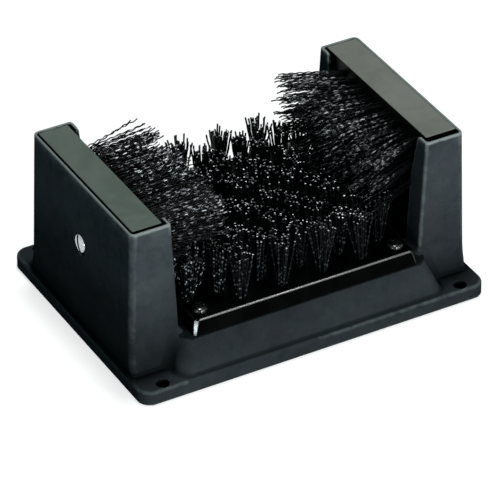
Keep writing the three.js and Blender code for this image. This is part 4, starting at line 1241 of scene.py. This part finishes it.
def seen_directly(tree):
    """One where the camera sees a surface straight, in a mirror or through glass, and zero elsewhere."""
    rays = add(tree, "ShaderNodeLightPath").node.outputs
    seen = rays["Is Camera Ray"]
    for ray in ("Is Glossy Ray", "Is Transmission Ray"):
        seen = add(tree, "ShaderNodeMath", seen, rays[ray], operation="MAXIMUM")
    return seen


class BOOTSCRAPER_OT_stage(bpy.types.Operator):
    """Lay the floor and set the lights and the camera"""
    bl_idname = "boot_scraper.stage"
    bl_label = "Stage"

    def lay_floor(self, settings):
        corners = [(x * FLOOR_HALF, y * FLOOR_HALF, 0) for x, y in ((-1, -1), (1, -1), (1, 1), (-1, 1))]
        floor = new_object("floor", mesh_from("floor", corners, [(0, 1, 2, 3)]))
        material, tree = new_material("floor_paper")
        glow = add(tree, "ShaderNodeMath", seen_directly(tree), settings.lift, operation="MULTIPLY")
        shader = add(tree, "ShaderNodeBsdfPrincipled", {
            "Base Color": settings.floor, "Roughness": 1.0, "Specular IOR Level": 0.0,
            "Emission Color": "#ffffff", "Emission Strength": glow})
        add(tree, "ShaderNodeOutputMaterial", shader)
        floor.data.materials.append(material)

    def light_room(self, scene, settings):
        scene.world = bpy.data.worlds.new("studio")
        scene.world.use_nodes = True
        tree = scene.world.node_tree
        tree.nodes.clear()
        dim = add(tree, "ShaderNodeBackground", ROOM_COLOUR, settings.ambient)
        white = add(tree, "ShaderNodeBackground", "#ffffff", 1.0)
        both = add(tree, "ShaderNodeMixShader", seen_directly(tree), dim, white)
        add(tree, "ShaderNodeOutputWorld", both)
        for name, (direction, distance, size, colour) in LIGHTS.items():
            area_light(f"{name}_light", direction, distance, size, colour, getattr(settings, name))

    def set_camera(self, scene):
        camera = bpy.data.cameras.new("camera")
        camera.sensor_width = CAMERA["sensor"]
        camera.lens = CAMERA["focal"] / CAMERA["picture"] * CAMERA["sensor"]
        camera.clip_end = CAMERA["sees_to"]
        azimuth, elevation = math.radians(CAMERA["azimuth"]), math.radians(CAMERA["elevation"])
        back = Vector((math.sin(azimuth) * math.cos(elevation), -math.cos(azimuth) * math.cos(elevation),
                       math.sin(elevation)))
        right = Vector((0, 0, 1)).cross(back).normalized()
        turn = Matrix((right, back.cross(right), back)).transposed().to_4x4()
        turn.translation = CAMERA["place"]
        scene.camera = new_object("camera", camera)
        scene.camera.matrix_world = turn

    def execute(self, context):
        settings = context.scene.boot_scraper_stage
        context.scene.view_settings.view_transform = "Standard"
        self.lay_floor(settings)
        self.light_room(context.scene, settings)
        self.set_camera(context.scene)
        return {"FINISHED"}


# Each group of settings and its operator, in the order in which the pieces are made
ROWS = {
    "boot_scraper_stage": (StageSettings, BOOTSCRAPER_OT_stage),
    "boot_scraper_casting": (CastingSettings, BOOTSCRAPER_OT_casting),
    "boot_scraper_block": (BlockSettings, BOOTSCRAPER_OT_blocks),
    "boot_scraper_brush": (BrushSettings, BOOTSCRAPER_OT_bristles),
    "boot_scraper_screw": (ScrewSettings, BOOTSCRAPER_OT_screws),
}


class BOOTSCRAPER_PT_panel(bpy.types.Panel):
    """Boot scraper pieces"""
    bl_idname = "BOOTSCRAPER_PT_panel"
    bl_label = "Boot Scraper"
    bl_space_type = "VIEW_3D"
    bl_region_type = "UI"
    bl_category = "Boot Scraper"

    def draw(self, context):
        for name, (settings, operator) in ROWS.items():
            box = self.layout.box()
            for key in settings.__annotations__:
                box.prop(getattr(context.scene, name), key)
            box.operator(operator.bl_idname)


def register():
    for name, (settings, operator) in ROWS.items():
        bpy.utils.register_class(settings)
        setattr(bpy.types.Scene, name, bpy.props.PointerProperty(type=settings))
        bpy.utils.register_class(operator)
    bpy.utils.register_class(BOOTSCRAPER_PT_panel)


def unregister():
    bpy.utils.unregister_class(BOOTSCRAPER_PT_panel)
    for name, (settings, operator) in reversed(ROWS.items()):
        bpy.utils.unregister_class(operator)
        delattr(bpy.types.Scene, name)
        bpy.utils.unregister_class(settings)


def main():
    register()
    for step in (bpy.ops.boot_scraper.stage, bpy.ops.boot_scraper.casting, bpy.ops.boot_scraper.blocks,
                 bpy.ops.boot_scraper.bristles, bpy.ops.boot_scraper.screws):
        step()


if __name__ == "__main__":
    main()
